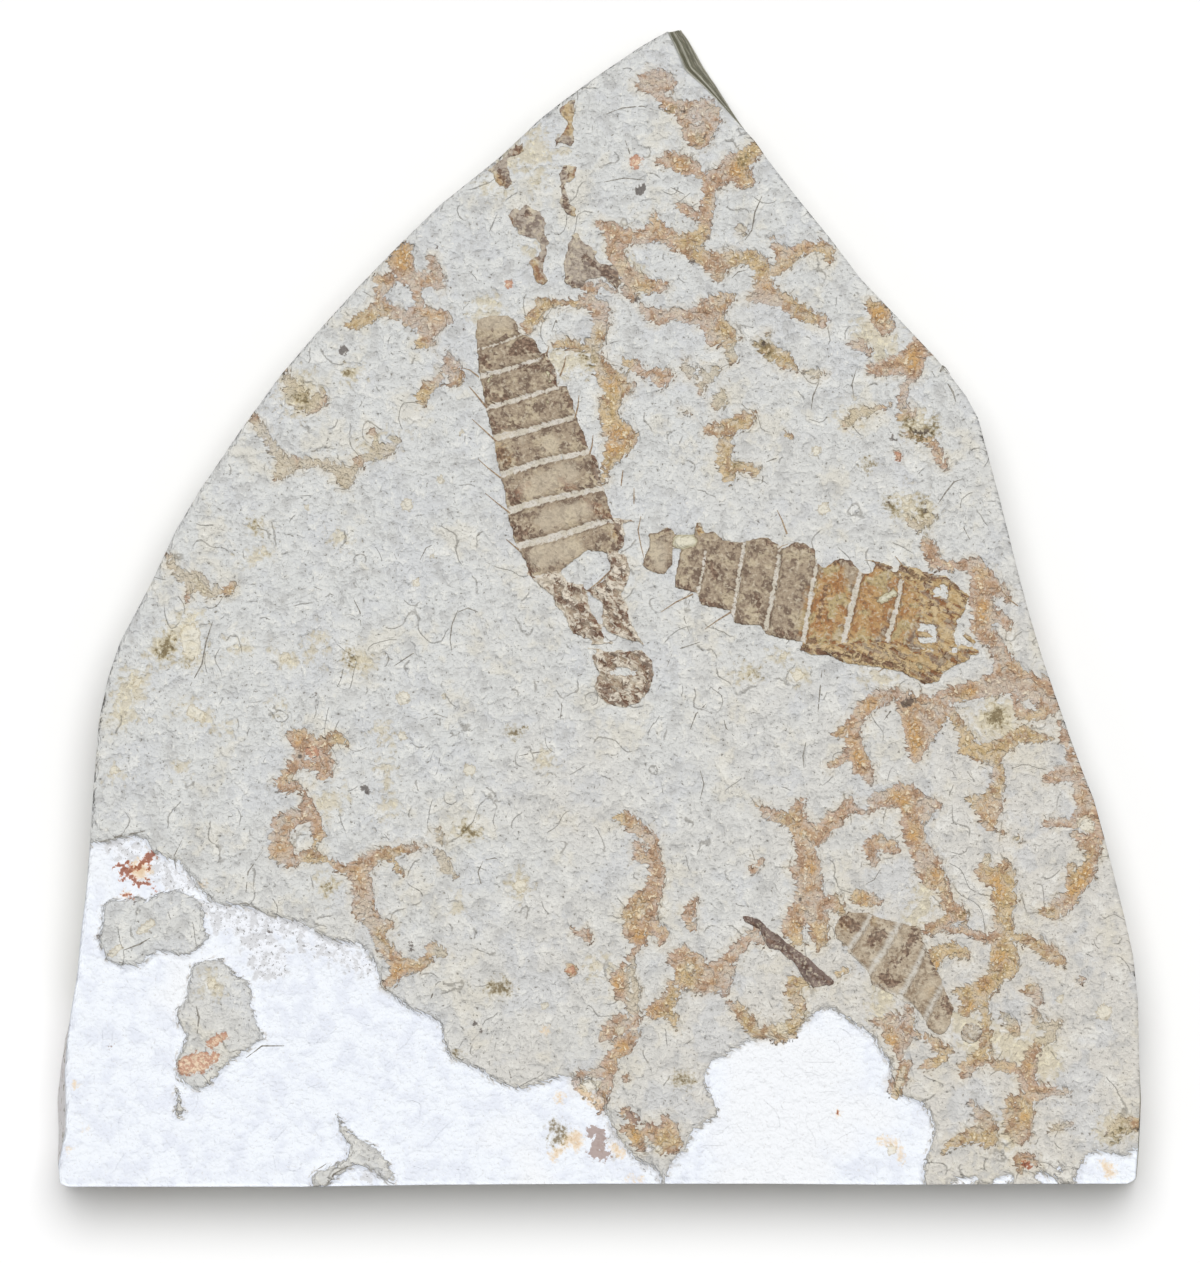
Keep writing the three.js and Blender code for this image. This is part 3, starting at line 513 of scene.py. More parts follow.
# %% The marks
MARKS_PX = {
    "faint": [
        [(706, 374, 14), (720, 400, 10)], [(690, 368, 10)], [(684, 411, 8)], [(734, 352, 8)],
        [(300, 392, 24)], [(262, 436, 16), (284, 468, 14)], [(310, 464, 12), (346, 476, 16)],
        [(372, 450, 14), (392, 442, 12)], [(176, 566, 14), (206, 588, 16)], [(437, 836, 10), (446, 866, 14)],
        [(1048, 1030, 16)], [(742, 230, 8)], [(636, 968, 10), (634, 1006, 8)], [(590, 1082, 6)],
        [(1118, 1132, 14)], [(814, 374, 10)], [(860, 412, 20)], [(924, 522, 18)], [(1058, 1126, 12)],
        [(1005, 1020, 8)], [(440, 952, 8)],
    ],
    "wash": [
        [(160, 652, 12), (176, 634, 12), (190, 620, 10)], [(190, 652, 12)], [(134, 684, 14), (122, 712, 12)],
        [(184, 708, 5), (197, 714, 7), (213, 722, 4), (227, 727, 2)],
        [(246, 560, 3), (258, 557, 5), (268, 553, 3)], [(257, 526, 5)], [(336, 538, 6), (344, 540, 4)],
        [(280, 706, 5)], [(182, 767, 6)], [(117, 773, 5)], [(230, 647, 4), (246, 649, 4)],
        [(282, 656, 7), (292, 662, 6)], [(313, 655, 7), (318, 640, 6)], [(352, 656, 8), (366, 664, 8)],
        [(326, 886, 10)], [(322, 806, 10), (338, 798, 8)], [(300, 395, 20)], [(382, 730, 7), (386, 742, 5)],
        [(384, 757, 5), (388, 775, 4), (389, 792, 3)], [(387, 808, 8), (378, 814, 3)],
        [(462, 828, 7), (472, 832, 5)], [(356, 374, 6), (346, 374, 4)], [(374, 445, 10)], [(395, 437, 5)],
        [(883, 344, 16), (866, 330, 12)], [(918, 426, 14)], [(520, 885, 10)],
        [(620, 258, 10), (640, 284, 10)], [(500, 152, 12), (540, 155, 14)], [(536, 133, 7)],
        [(486, 186, 5), (498, 190, 7)], [(534, 178, 8)], [(562, 150, 6)], [(532, 248, 6)],
        [(560, 362, 12), (582, 362, 12)], [(490, 308, 10), (478, 314, 8)], [(998, 718, 22), (984, 724, 14)],
        [(960, 1020, 12), (1000, 1040, 14), (1040, 1060, 20)], [(1112, 1130, 14)], [(850, 418, 12)],
        [(905, 505, 12), (922, 514, 12)], [(596, 968, 9), (606, 965, 7)], [(740, 674, 5), (752, 672, 5)],
        [(771, 655, 4)], [(1010, 1134, 14)], [(212, 984, 12)], [(545, 760, 8)], [(804, 990, 6)],
        [(458, 905, 6)], [(784, 656, 4)], [(800, 676, 7)], [(870, 672, 8), (890, 680, 6)],
        [(930, 880, 10), (880, 1010, 10)], [(976, 1040, 16)],
    ],
    "hot": [
        [(402, 252, 7), (404, 264, 7)], [(424, 314, 6), (438, 320, 6)], [(280, 848, 9)], [(878, 314, 9)],
        [(620, 434, 9), (614, 448, 8)], [(612, 384, 7)], [(872, 703, 6), (864, 710, 4)], [(853, 740, 4)],
        [(857, 755, 5), (863, 768, 4)], [(912, 724, 6), (917, 748, 7)], [(896, 798, 5), (908, 806, 6)],
        [(912, 836, 6)], [(990, 806, 8), (988, 820, 6)], [(1086, 872, 6), (1072, 892, 5)], [(972, 690, 6)],
        [(984, 606, 7), (984, 616, 7)], [(994, 878, 6), (1000, 896, 6)], [(893, 1040, 7)], [(903, 1074, 4)],
        [(636, 1138, 4), (631, 1128, 4)], [(800, 836, 7)], [(810, 870, 7), (808, 890, 7)], [(797, 926, 5)],
        [(640, 936, 8)], [(712, 984, 6)], [(622, 1046, 6)], [(617, 984, 6)], [(656, 1010, 6)],
        [(1000, 958, 8)], [(984, 984, 7)], [(363, 884, 4), (360, 872, 5)], [(400, 966, 6), (392, 980, 4)],
        [(736, 170, 7)], [(936, 872, 5)], [(1080, 800, 5)], [(764, 284, 8)], [(915, 352, 7), (912, 368, 6)],
        [(968, 1006, 6)], [(865, 899, 5)], [(1024, 1118, 4)], [(936, 964, 4)], [(680, 165, 6)],
        [(298, 742, 5)], [(1028, 1066, 3)],
    ],
    "olive": [
        [(764, 347, 6), (772, 354, 4)], [(170, 640, 5), (164, 652, 8)], [(184, 661, 3)],
        [(348, 655, 4), (352, 662, 5)], [(494, 988, 6), (506, 988, 6)], [(505, 981, 2)],
        [(464, 828, 4), (473, 833, 5)], [(680, 1079, 6), (688, 1080, 5)],
        [(555, 1128, 6), (562, 1135, 6), (556, 1141, 5)], [(890, 502, 5), (894, 510, 3)],
        [(922, 500, 3), (922, 514, 4)], [(996, 716, 10)], [(753, 674, 5)],
        [(1122, 1128, 4), (1116, 1136, 3)], [(328, 886, 4)], [(735, 466, 3)],
        [(906, 420, 4), (914, 436, 5), (930, 432, 6), (934, 420, 4)], [(513, 733, 5), (521, 729, 2)],
        [(348, 374, 4)], [(302, 398, 6)], [(698, 138, 3)], [(672, 110, 3)], [(742, 160, 4)], [(868, 465, 5)],
        [(458, 1054, 3)], [(584, 356, 4), (592, 362, 3)], [(252, 522, 2), (258, 528, 3)], [(962, 916, 3)],
    ],
    "pink": [
        [(186, 1066, 9), (201, 1062, 10)], [(211, 1044, 4), (220, 1038, 4), (227, 1036, 2)],
        [(214, 1057, 5)], [(636, 162, 6)], [(571, 970, 4)], [(898, 457, 4)], [(508, 284, 4)],
        [(312, 752, 6)],
    ],
    "umber": [
        [(591, 1133, 5), (601, 1133, 5), (598, 1144, 7), (594, 1154, 6), (606, 1154, 5)],
        [(628, 1114, 4), (636, 1120, 4)], [(650, 1124, 2)], [(110, 1046, 1)],
    ],
    "honey": [
        [(568, 1140, 8), (578, 1138, 8), (576, 1146, 6)], [(554, 1156, 6), (560, 1148, 5)], [(560, 1097, 6)],
        [(612, 1146, 5), (620, 1154, 6)], [(582, 1090, 6), (596, 1104, 5)], [(628, 1178, 3), (641, 1179, 3)],
        [(1104, 1164, 6), (1111, 1172, 7)], [(882, 1140, 5), (892, 1142, 5), (900, 1150, 4), (902, 1160, 4)],
        [(86, 1129, 3)], [(140, 870, 12)], [(75, 1085, 4)], [(203, 884, 4)], [(126, 895, 4)],
        [(68, 1150, 4)], [(838, 1113, 4)], [(545, 1030, 5)],
    ],
    "cream": [
        [(190, 634, 10), (192, 650, 10)], [(192, 711, 6), (200, 716, 6)], [(137, 682, 5)], [(285, 657, 5)],
        [(824, 509, 6)], [(816, 451, 5)], [(520, 886, 7)], [(586, 1086, 6), (598, 1084, 4)], [(407, 505, 6)],
        [(440, 480, 4)], [(798, 675, 6)], [(783, 655, 4)], [(1085, 823, 8), (1090, 828, 5)], [(990, 708, 5)],
        [(660, 1150, 4)], [(139, 932, 3), (150, 924, 5)], [(111, 954, 3), (120, 946, 3)], [(892, 1150, 5)],
        [(1104, 1012, 8)], [(702, 140, 3)], [(688, 162, 3)], [(674, 110, 2)], [(920, 424, 5)],
        [(545, 1006, 4)], [(432, 556, 3)], [(264, 551, 4)], [(308, 508, 3)], [(907, 808, 4)],
        [(462, 432, 3)], [(115, 770, 5)], [(150, 720, 3)], [(1060, 1000, 4)], [(907, 498, 4), (905, 510, 3)],
        [(416, 583, 4)], [(403, 698, 7)], [(444, 696, 3)], [(402, 736, 5)], [(470, 770, 6)], [(212, 984, 5)],
        [(888, 321, 3)], [(772, 358, 3)], [(986, 861, 5)], [(782, 1028, 7)], [(642, 912, 4)],
        [(690, 968, 5)], [(620, 1030, 5)], [(904, 1068, 3), (898, 1087, 4)], [(290, 778, 4)],
        [(195, 580, 3), (206, 593, 2)], [(804, 834, 4)], [(614, 228, 3)], [(610, 228, 2)], [(1016, 838, 3)],
        [(806, 1014, 3)],
    ],
    "red": [
        [(113, 868, 1), (120, 864, 2), (126, 872, 3), (134, 880, 3), (138, 886, 2)],
        [(146, 882, 1), (138, 886, 2)],
        [(126, 872, 2), (136, 868, 2), (144, 860, 3), (152, 854, 3), (157, 857, 1)],
        [(118, 872, 1), (122, 880, 2)],
        [(150, 856, 2), (148, 866, 2), (146, 878, 1), (152, 886, 2), (156, 891, 1)],
        [(128, 862, 1), (130, 868, 2)], [(122, 893, 1), (128, 896, 2), (134, 898, 1)], [(838, 1113, 2)],
        [(1024, 1163, 3), (1030, 1167, 3)],
    ],
    "dark": [
        [(640, 190, 5), (644, 186, 3)], [(692, 263, 3)], [(637, 300, 3)], [(465, 328, 2)], [(343, 350, 5)],
        [(437, 248, 2)], [(718, 690, 2)], [(704, 136, 3)], [(684, 112, 2)], [(98, 937, 3)],
        [(410, 942, 2), (411, 950, 2)], [(362, 786, 3), (368, 792, 3)], [(475, 1024, 3)], [(481, 1030, 2)],
        [(904, 704, 4), (914, 700, 3)], [(800, 900, 2)], [(134, 904, 2)], [(300, 756, 2)],
        [(891, 437, 2), (894, 441, 2)], [(764, 344, 2)], [(268, 932, 2)], [(314, 694, 2)], [(343, 679, 1)],
        [(889, 501, 2)], [(924, 498, 1), (925, 510, 2)], [(913, 432, 2), (928, 432, 2)], [(152, 905, 1)],
    ],
    "crust": [
        [(205, 912, 12), (250, 920, 14), (300, 928, 9)], [(262, 940, 14), (268, 962, 14)],
        [(312, 940, 8), (345, 952, 8), (368, 966, 6)], [(116, 844, 8), (160, 868, 9), (185, 886, 8)],
        [(612, 1130, 6), (616, 1144, 6)], [(372, 1170, 8)], [(640, 1158, 6), (664, 1166, 6)],
    ],
}

# %% [markdown]
# ## The upper face
# The face swells a little, as a split bed does. The white bed is a shallow step down, each cell of the net
# is a low pillow, and thin flakes overlap like shingles. The face also has to drop at its rim, where the
# brittle edge has crumbled.

# %% The height of the face
NET_SOFTNESS = 0.2 * MM
NET_FRAY = 0.16 * MM
NET_FRAY_SIZE = 1.3 * MM
NET_SLOPE = (-0.3 * MM, 0.15 * MM)
NET_DEPTH = 0.14 * MM
FLAKE_STEP = 0.07 * MM
FLAKE_SIZE = 8 * MM
FLAKE_LENGTH = 9 * MM
FLAKE_RISE = (-0.6, 0.8)
FLAKE_RISER = 0.9
# flake_level starts from FLAKES_BELOW and wanders by FLAKE_WANDER flakes up and down
FLAKES_BELOW = 20
FLAKE_WANDER = 2.4
FLAKE_SINK = 0.8
GRAIN_SIZE = 1.1 * MM
GRAIN_HEIGHT = 0.045 * MM
WHITE_SMOOTHNESS = 0.75
RIM_CRUMBLE = 0.16 * MM
RIM_CRUMBLE_WIDTH = 0.5 * MM


def swell(points):
    """The gentle swells of the bed, below its highest level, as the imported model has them."""
    x = points[:, 0] / MM
    y = points[:, 1] / MM
    long_wave = np.sin(x * 0.11 + 0.7) * np.cos(y * 0.09 - 0.4) + 0.6 * np.sin(x * 0.05 - y * 0.14)
    ripple = np.sin(x * 0.53 + y * 0.31) * np.sin(y * 0.47 - x * 0.22)
    return (0.07 * (1.6 - long_wave) + 0.05 * (1 - ripple)) * MM


def net_distance(points):
    """How far each point is from the net's border, with rounded cells and an uneven width."""
    blended = blended_distance(points, NET_STROKES_PX, NET_SOFTNESS)
    return blended + noise_field(points, NET_FRAY_SIZE, octaves=3, shift=1.3) * NET_FRAY


def flake_level(points):
    """How many thin flakes lie under each point, as a number with a fraction."""
    towards_tip = points @ np.array(FLAKE_RISE) / FLAKE_LENGTH
    wander = noise_field(points, FLAKE_SIZE, octaves=3, shift=3.1) * FLAKE_WANDER
    return FLAKES_BELOW + towards_tip + wander


def flake_height(level):
    """Thin flakes laid like shingles: each sinks slowly, and a short riser leads up to the next."""
    whole = np.floor(level)
    sunk = (whole - level + 1) * FLAKE_SINK - FLAKE_SINK
    return (sunk + ramp(level - whole, FLAKE_RISER, 1.0)) * FLAKE_STEP


def face_height(points, white, net):
    """The height of the fossil face above the table."""
    on_white = ramp(-white, -WHITE_SLOPE, WHITE_SLOPE)
    on_net = ramp(-net, *NET_SLOPE)
    grain = noise_field(points, GRAIN_SIZE, octaves=4, shift=8.4) * GRAIN_HEIGHT
    height = SLAB_THICKNESS - swell(points) - WHITE_DEPTH * on_white
    flakes = flake_height(flake_level(points))
    height = height - NET_DEPTH * on_net * (1 - on_white)
    return height + (1 - WHITE_SMOOTHNESS * on_white) * (flakes + grain)


# %% [markdown]
# The stone's mesh starts as one fine grid. What lies outside the rim is deleted, and triangle_fill closes
# the narrow gap between the grid's stepped border and the smooth rim. The rim is then pulled down, row by
# row, to make the wall, and the beds in the wall come from how far each row stands back.

# %% A skin that fills a ring
def flat_grid(step, low, high):
    """A flat grid between two corners, with square cells of about the given step."""
    grid = bmesh.new()
    width, length = high[0] - low[0], high[1] - low[1]
    middle = Matrix.Translation(((low[0] + high[0]) / 2, (low[1] + high[1]) / 2, 0))
    bmesh.ops.create_grid(
        grid, x_segments=round(width / step), y_segments=round(length / step), size=0.5,
        matrix=middle @ Matrix.Diagonal((width, length, 1, 1)),
    )
    return grid


def flat_places(verts):
    return np.array([(vert.co.x, vert.co.y) for vert in verts])


def keep_inside(grid, outline, margin):
    """Deletes the grid outside the outline, and corners that hang on by one point."""
    distance = outline_distance(flat_places(grid.verts), outline)
    outside = [vert for vert, gap in zip(grid.verts, distance) if gap > -margin]
    bmesh.ops.delete(grid, geom=outside, context="VERTS")
    pinched = [None]
    while pinched:
        pinched = [
            vert for vert in grid.verts
            if sum(edge.is_boundary for edge in vert.link_edges) > 2 or not vert.link_faces
        ]
        bmesh.ops.delete(grid, geom=pinched, context="VERTS")


def fill_to_ring(grid, ring):
    """Adds a ring of vertices round the grid and fills the gap. Returns the ring's vertices and edges."""
    border = [edge for edge in grid.edges if edge.is_boundary]
    ring_verts = [grid.verts.new((x, y, 0)) for x, y in ring]
    ring_edges = [grid.edges.new(pair) for pair in zip(ring_verts, ring_verts[1:] + ring_verts[:1])]
    bmesh.ops.triangle_fill(grid, edges=border + ring_edges, use_beauty=True)
    return ring_verts, ring_edges


# %% The wall
BED_HEIGHTS_MM = (10.6, 9.9, 9.2, 8.5, 8.0, 7.6, 6.6, 5.9, 5.3, 4.9, 3.9, 3.3, 2.8, 2.4, 1.4, 0.5, 0.0)
BED_SETBACKS_MM = (
    0.02, 0.1, 0.02, 0.16, 0.32, 0.06, 0.14, 0.04, 0.3, 0.36, 0.08, 0.2, 0.05, 0.34, 0.16, 0.3, 0.7,
)
WALL_LUMPS = 3.2 * MM
EVEN_SETBACK = 0.65
UNEVEN_SETBACK = 0.35
BED_WOBBLE = 0.12 * MM
FACE_GAP = 0.3 * MM


def outward(ring):
    along = np.roll(ring, -1, axis=0) - np.roll(ring, 1, axis=0)
    along /= np.linalg.norm(along, axis=1)[:, None]
    return np.column_stack([along[:, 1], -along[:, 0]])


def pull_wall(stone, ring_edges, index_of):
    """Extrudes the rim down to the table, one row for each bed, and returns the lowest row's edges."""
    away = outward(foot_points)
    for row, (height, setback) in enumerate(zip(BED_HEIGHTS_MM, BED_SETBACKS_MM)):
        rise = height * MM / SLAB_THICKNESS
        broken = noise_field(foot_points, WALL_LUMPS, octaves=4, shift=row * 1.7)
        back = setback * MM * (EVEN_SETBACK + UNEVEN_SETBACK * broken)
        edge = foot_points + (rim_points - foot_points) * rise - away * back[:, None]
        made = bmesh.ops.extrude_edge_only(stone, edges=ring_edges)["geom"]
        ring_edges = [part for part in made if isinstance(part, bmesh.types.BMEdge) and part.is_boundary]
        for vert in (part for part in made if isinstance(part, bmesh.types.BMVert)):
            place = vert[index_of]
            wobble = BED_WOBBLE * broken[place] * (height > 0)
            vert.co = (*edge[place], max(height * MM + wobble, 0))
    return ring_edges


# %% Build the stone
stone = flat_grid(GRID_STEP, silhouette.min(axis=0), silhouette.max(axis=0))
keep_inside(stone, rim, FACE_GAP)
index_of = stone.verts.layers.int.new("place on the rim")
rim_verts, rim_edges = fill_to_ring(stone, rim_points)
for place, vert in enumerate(rim_verts):
    vert[index_of] = place

face_places = flat_places(stone.verts)
face_white = white_distance(face_places)
face_net = net_distance(face_places)
heights = face_height(face_places, face_white, face_net)
heights -= RIM_CRUMBLE * ramp(outline_distance(face_places, rim), -RIM_CRUMBLE_WIDTH, 0)
for vert, height in zip(stone.verts, heights):
    vert.co.z = height
for face in stone.faces:
    face.smooth = True
foot_edges = pull_wall(stone, rim_edges, index_of)
bmesh.ops.edgeloop_fill(stone, edges=foot_edges)
bmesh.ops.recalc_face_normals(stone, faces=stone.faces)
print("stone faces:", len(stone.faces), "open edges:", sum(edge.is_boundary for edge in stone.edges))

slab_mesh = bpy.data.meshes.new("shale_slab")
stone.to_mesh(slab_mesh)
stone.free()
slab = bpy.data.objects.new("shale_slab", slab_mesh)
bpy.context.scene.collection.objects.link(slab)

# %% Store the distances and the broad mottling on the stone
places = vertex_places(slab)
flat = places[:, :2]
# Distances are cut off at this many millimetres, because no mask looks further
REACH = 3.0
# Most of a noise field lies from minus this to this
FIELD_SPREAD = 0.3
# How far below the face the finish turns from the face's to the wall's
WALL_BEGINS = (0.9 * MM, 1.3 * MM)
for name, strokes in MARKS_PX.items():
    store(slab, name, np.clip(stroke_distance(flat, strokes) / MM, -REACH, REACH))
store(slab, "net", np.clip(net_distance(flat) / MM, -REACH, REACH))
store(slab, "white", np.clip(white_distance(flat) / MM, -REACH, REACH))
store(slab, "flakes", flake_level(flat))
store(slab, "wall", ramp(SLAB_THICKNESS - places[:, 2], *WALL_BEGINS))
for name, size, shift in (("broad", 11 * MM, 5.5), ("patch", 4.5 * MM, 7.7), ("mottle", 2.2 * MM, 9.9)):
    store(slab, name, noise_field(flat, size, octaves=3, shift=shift) / FIELD_SPREAD)

# %% [markdown]
# ## Words for materials
# All the finishes are mixes of plain colours by masks, and every mask is a number pushed through noise and
# cut off. A small class gives those steps short names, so that a finish reads like a recipe.

# %% The words
# Blender's noise lies close about a half. This spreads it, so that two thirds lie from -1 to 1
NOISE_SPREAD = 12
# How far right and up the flat noise moves with each millimetre of height
LEAN = (1.9, -0.9)
# The sizes of the three noises that every finish uses
LUMPS_MM = 1.2
BITS_MM = 0.6
CRUMBS_MM = 0.32
# Stone and dull mineral reflect about half of what plastic does
GLOSS = 0.25


def paint(red, green, blue):
    """A colour read off the photograph, 0 to 255, as the surface colour that comes out so in this light."""
    linear = [
        value / 255 / 12.92 if value <= 10 else ((value / 255 + 0.055) / 1.055) ** 2.4
        for value in (red, green, blue)
    ]
    return (*[min(value / LIGHT_LEVEL, 1) for value in linear], 1)


class Finish:
    """One material, with short words for its nodes."""

    def __init__(self, name, roughness):
        self.material = bpy.data.materials.new(name)
        self.material.use_nodes = True
        self.tree = self.material.node_tree
        self.shader = self.tree.nodes["Principled BSDF"]
        self.shader.inputs["Roughness"].default_value = roughness
        self.shader.inputs["Specular IOR Level"].default_value = GLOSS
        coordinates = self.tree.nodes.new("ShaderNodeTexCoord")
        split = self.tree.nodes.new("ShaderNodeSeparateXYZ")
        self.tree.links.new(coordinates.outputs["Object"], split.inputs[0])
        self.x, self.y, self.z = (self.times(split.outputs[axis], 1 / MM) for axis in "XYZ")
        # Flat noise is quick, and leaning it by the height keeps it from streaking down the walls
        join = self.tree.nodes.new("ShaderNodeCombineXYZ")
        self.put(join.inputs["X"], self.sum(self.x, self.z, LEAN[0]))
        self.put(join.inputs["Y"], self.sum(self.y, self.z, LEAN[1]))
        self.place = join.outputs[0]
        self.lumps = self.noise(LUMPS_MM, detail=2)
        self.bits = self.noise(BITS_MM, detail=2, shift=11)
        self.crumbs = self.noise(CRUMBS_MM, detail=3, shift=19)

    def put(self, socket, value):
        """Feeds a socket with a number, a colour, a node's output, or what is stored under a name."""
        if isinstance(value, str):
            stored = self.tree.nodes.new("ShaderNodeAttribute")
            stored.attribute_name = value
            value = stored.outputs["Fac"]
        if isinstance(value, bpy.types.NodeSocket):
            self.tree.links.new(value, socket)
        else:
            socket.default_value = paint(*value) if isinstance(value, tuple) else value

    def noise(self, size, detail=3, roughness=0.6, turn=0, stretch=1, shift=0):
        """Noise about 0, two thirds of it from -1 to 1, with lumps of the given size in millimetres."""
        place = self.place
        if turn or stretch != 1:
            mapping = self.tree.nodes.new("ShaderNodeMapping")
            mapping.vector_type = "TEXTURE"
            mapping.inputs["Rotation"].default_value = (0, 0, math.radians(turn))
            mapping.inputs["Scale"].default_value = (stretch, 1, 1)
            self.put(mapping.inputs["Vector"], place)
            place = mapping.outputs[0]
        moved = self.tree.nodes.new("ShaderNodeVectorMath")
        self.put(moved.inputs[0], place)
        moved.inputs[1].default_value = (shift, shift * 0.7, 0)
        texture = self.tree.nodes.new("ShaderNodeTexNoise")
        texture.noise_dimensions = "2D"
        texture.inputs["Scale"].default_value = 1 / size
        texture.inputs["Detail"].default_value = detail
        texture.inputs["Roughness"].default_value = roughness
        self.put(texture.inputs["Vector"], moved.outputs[0])
        return self.spread(texture.outputs["Fac"])

    def cell_edges(self, size):
        """How far it is to the border of the nearest of many ragged cells, in cells of the given size."""
        bent = self.tree.nodes.new("ShaderNodeVectorMath")
        self.put(bent.inputs[0], self.place)
        shake = self.tree.nodes.new("ShaderNodeCombineXYZ")
        self.put(shake.inputs["X"], self.times(self.crumbs, 0.07))
        self.put(shake.inputs["Y"], self.times(self.bits, 0.12))
        self.put(bent.inputs[1], shake.outputs[0])
        texture = self.tree.nodes.new("ShaderNodeTexVoronoi")
        texture.voronoi_dimensions = "2D"
        texture.feature = "DISTANCE_TO_EDGE"
        texture.inputs["Scale"].default_value = 1 / size
        self.put(texture.inputs["Vector"], bent.outputs[0])
        return texture.outputs["Distance"]

    def math(self, operation, first, second=0.0):
        node = self.tree.nodes.new("ShaderNodeMath")
        node.operation = operation
        self.put(node.inputs[0], first)
        self.put(node.inputs[1], second)
        return node.outputs[0]

    def times(self, first, second):
        return self.math("MULTIPLY", first, second)

    def sum(self, first, second, weight=1):
        """The first, and the second times its weight."""
        return self.math("ADD", first, second if weight == 1 else self.times(second, weight))

    def spread(self, noise):
        """Noise about a half made noise about 0."""
        return self.times(self.sum(noise, -0.5), NOISE_SPREAD)

    def mask(self, value, low, high, most=1):
        """0 up to low, and most from high on. Low above high turns it round."""
        node = self.tree.nodes.new("ShaderNodeMapRange")
        node.interpolation_type = "SMOOTHSTEP"
        self.put(node.inputs["Value"], value)
        node.inputs["From Min"].default_value = min(low, high)
        node.inputs["From Max"].default_value = max(low, high)
        node.inputs["To Min"].default_value = 0 if low < high else most
        node.inputs["To Max"].default_value = most if low < high else 0
        return node.outputs["Result"]

    def mix(self, share, under, over):
        """One colour over another, as far as the share says."""
        node = self.tree.nodes.new("ShaderNodeMix")
        node.data_type = "RGBA"
        self.put(node.inputs["Factor"], share)
        self.put(node.inputs[6], under)
        self.put(node.inputs[7], over)
        return node.outputs[2]

    def lay(self, under, *layers):
        """Colours one over the other. A layer is its mask's value, low, high and most, and its colour."""
        for value, low, high, most, over in layers:
            under = self.mix(self.mask(value, low, high, most), under, over)
        return under

    def ragged(self, distance, coarse, fine):
        """A distance in millimetres with its border roughened by coarse and fine noise."""
        rough = self.sum(self.times(self.bits, coarse), self.crumbs, fine)
        return self.sum(distance, rough)

    def bump(self, height):
        """Relief too fine for the mesh: a height in millimetres."""
        node = self.tree.nodes.new("ShaderNodeBump")
        node.inputs["Distance"].default_value = MM
        self.put(node.inputs["Height"], height)
        self.put(self.shader.inputs["Normal"], node.outputs["Normal"])

    def colour(self, value):
        self.put(self.shader.inputs["Base Color"], value)


# %% [markdown]
# ## The stone's finish
# From the photograph: a cool, mottled grey, warmer towards the lower right; a faintly blue white where the
# white bed shows; the net from pinkish tan to ochre, with orange hearts, full of cream and dark grains.
# One picture could be painted over it all, but it would blur close up and stop at the walls. So the layers
# are laid one over the other by masks, as the minerals were, with painted shade along the flake lips.

# %% Grey shale
def grey_shale(stone):
    lean = stone.sum(stone.x, stone.y, -1.1)
    warmth = stone.sum(lean, "broad", 10)
    patch = stone.sum("patch", stone.lumps, 0.35)
    mottle = stone.sum(stone.times("mottle", 0.7), stone.lumps, 0.45)
    mottle = stone.sum(mottle, stone.sum(stone.times(stone.bits, 0.3), stone.crumbs, 0.14))
    specks = stone.sum(stone.crumbs, stone.bits, 0.4)
    wash = stone.sum("wash", stone.sum(stone.lumps, stone.bits), 0.3)
    grey = stone.lay(
        (212, 213, 211),
        (warmth, -30, 95, 1, (211, 207, 199)),
        (patch, 0.6, 2.2, 0.45, (217, 210, 192)),
        (patch, -0.4, -1.8, 0.5, (203, 205, 208)),
        (mottle, 0.2, 2.6, 0.5, (236, 235, 229)),
        (mottle, 0.2, -2.4, 0.62, (182, 181, 178)),
        (specks, -2.2, -3.0, 0.8, (126, 121, 113)),
        (specks, 2.0, 2.8, 0.45, (243, 239, 228)),
        (wash, 0.7, -1.0, 0.5, (205, 190, 152)),
    )
    flecks = stone.times(stone.mask(wash, 0.3, -0.6), stone.mask(stone.bits, 0.4, 1.2))
    return stone.mix(stone.times(flecks, 0.6), grey, (234, 225, 196))


# %% The lips of the flakes, where shade is painted
def flake_lips(stone):
    """1 on the thin line where a flake ends, but only along some of each edge: where a riser's shade is
    painted.
    """
    level = stone.sum("flakes", stone.bits, 0.01)
    share = stone.math("FRACT", level)
    line = stone.times(stone.mask(share, 0.88, 0.925), stone.mask(share, 0.97, 0.93))
    some = stone.sum("mottle", "patch", 0.6)
    return stone.times(line, stone.mask(some, 0.3, 1.0))


# %% Chalk of the white bed
def chalk_bed(stone, edge):
    """White chalk, faintly blue, with a grey and gritty crust where the grey bed has only just come off."""
    mottle = stone.sum("mottle", stone.lumps, 0.6)
    chalk = stone.lay(
        (236, 240, 246),
        (mottle, -1.2, 2.2, 1, (226, 230, 239)),
        ("broad", 0.3, 2.0, 1, (238, 240, 243)),
        (stone.crumbs, -1.4, -2.8, 0.5, (208, 206, 204)),
    )
    grit = stone.lay(
        (208, 208, 210),
        (stone.sum(stone.bits, stone.lumps), -1.6, 1.0, 1, (236, 238, 243)),
        (stone.crumbs, -1.3, -2.2, 0.85, (120, 116, 112)),
    )
    crust = stone.sum("crust", stone.lumps, 0.35)
    chalk = stone.lay(chalk, (stone.sum(crust, edge, 0.25), 0.4, -0.4, 0.85, grit))
    near = stone.times(stone.mask(edge, -0.5, -0.02), stone.mask(stone.bits, 0.0, 1.4))
    return stone.mix(stone.times(near, 0.7), chalk, (196, 190, 181))


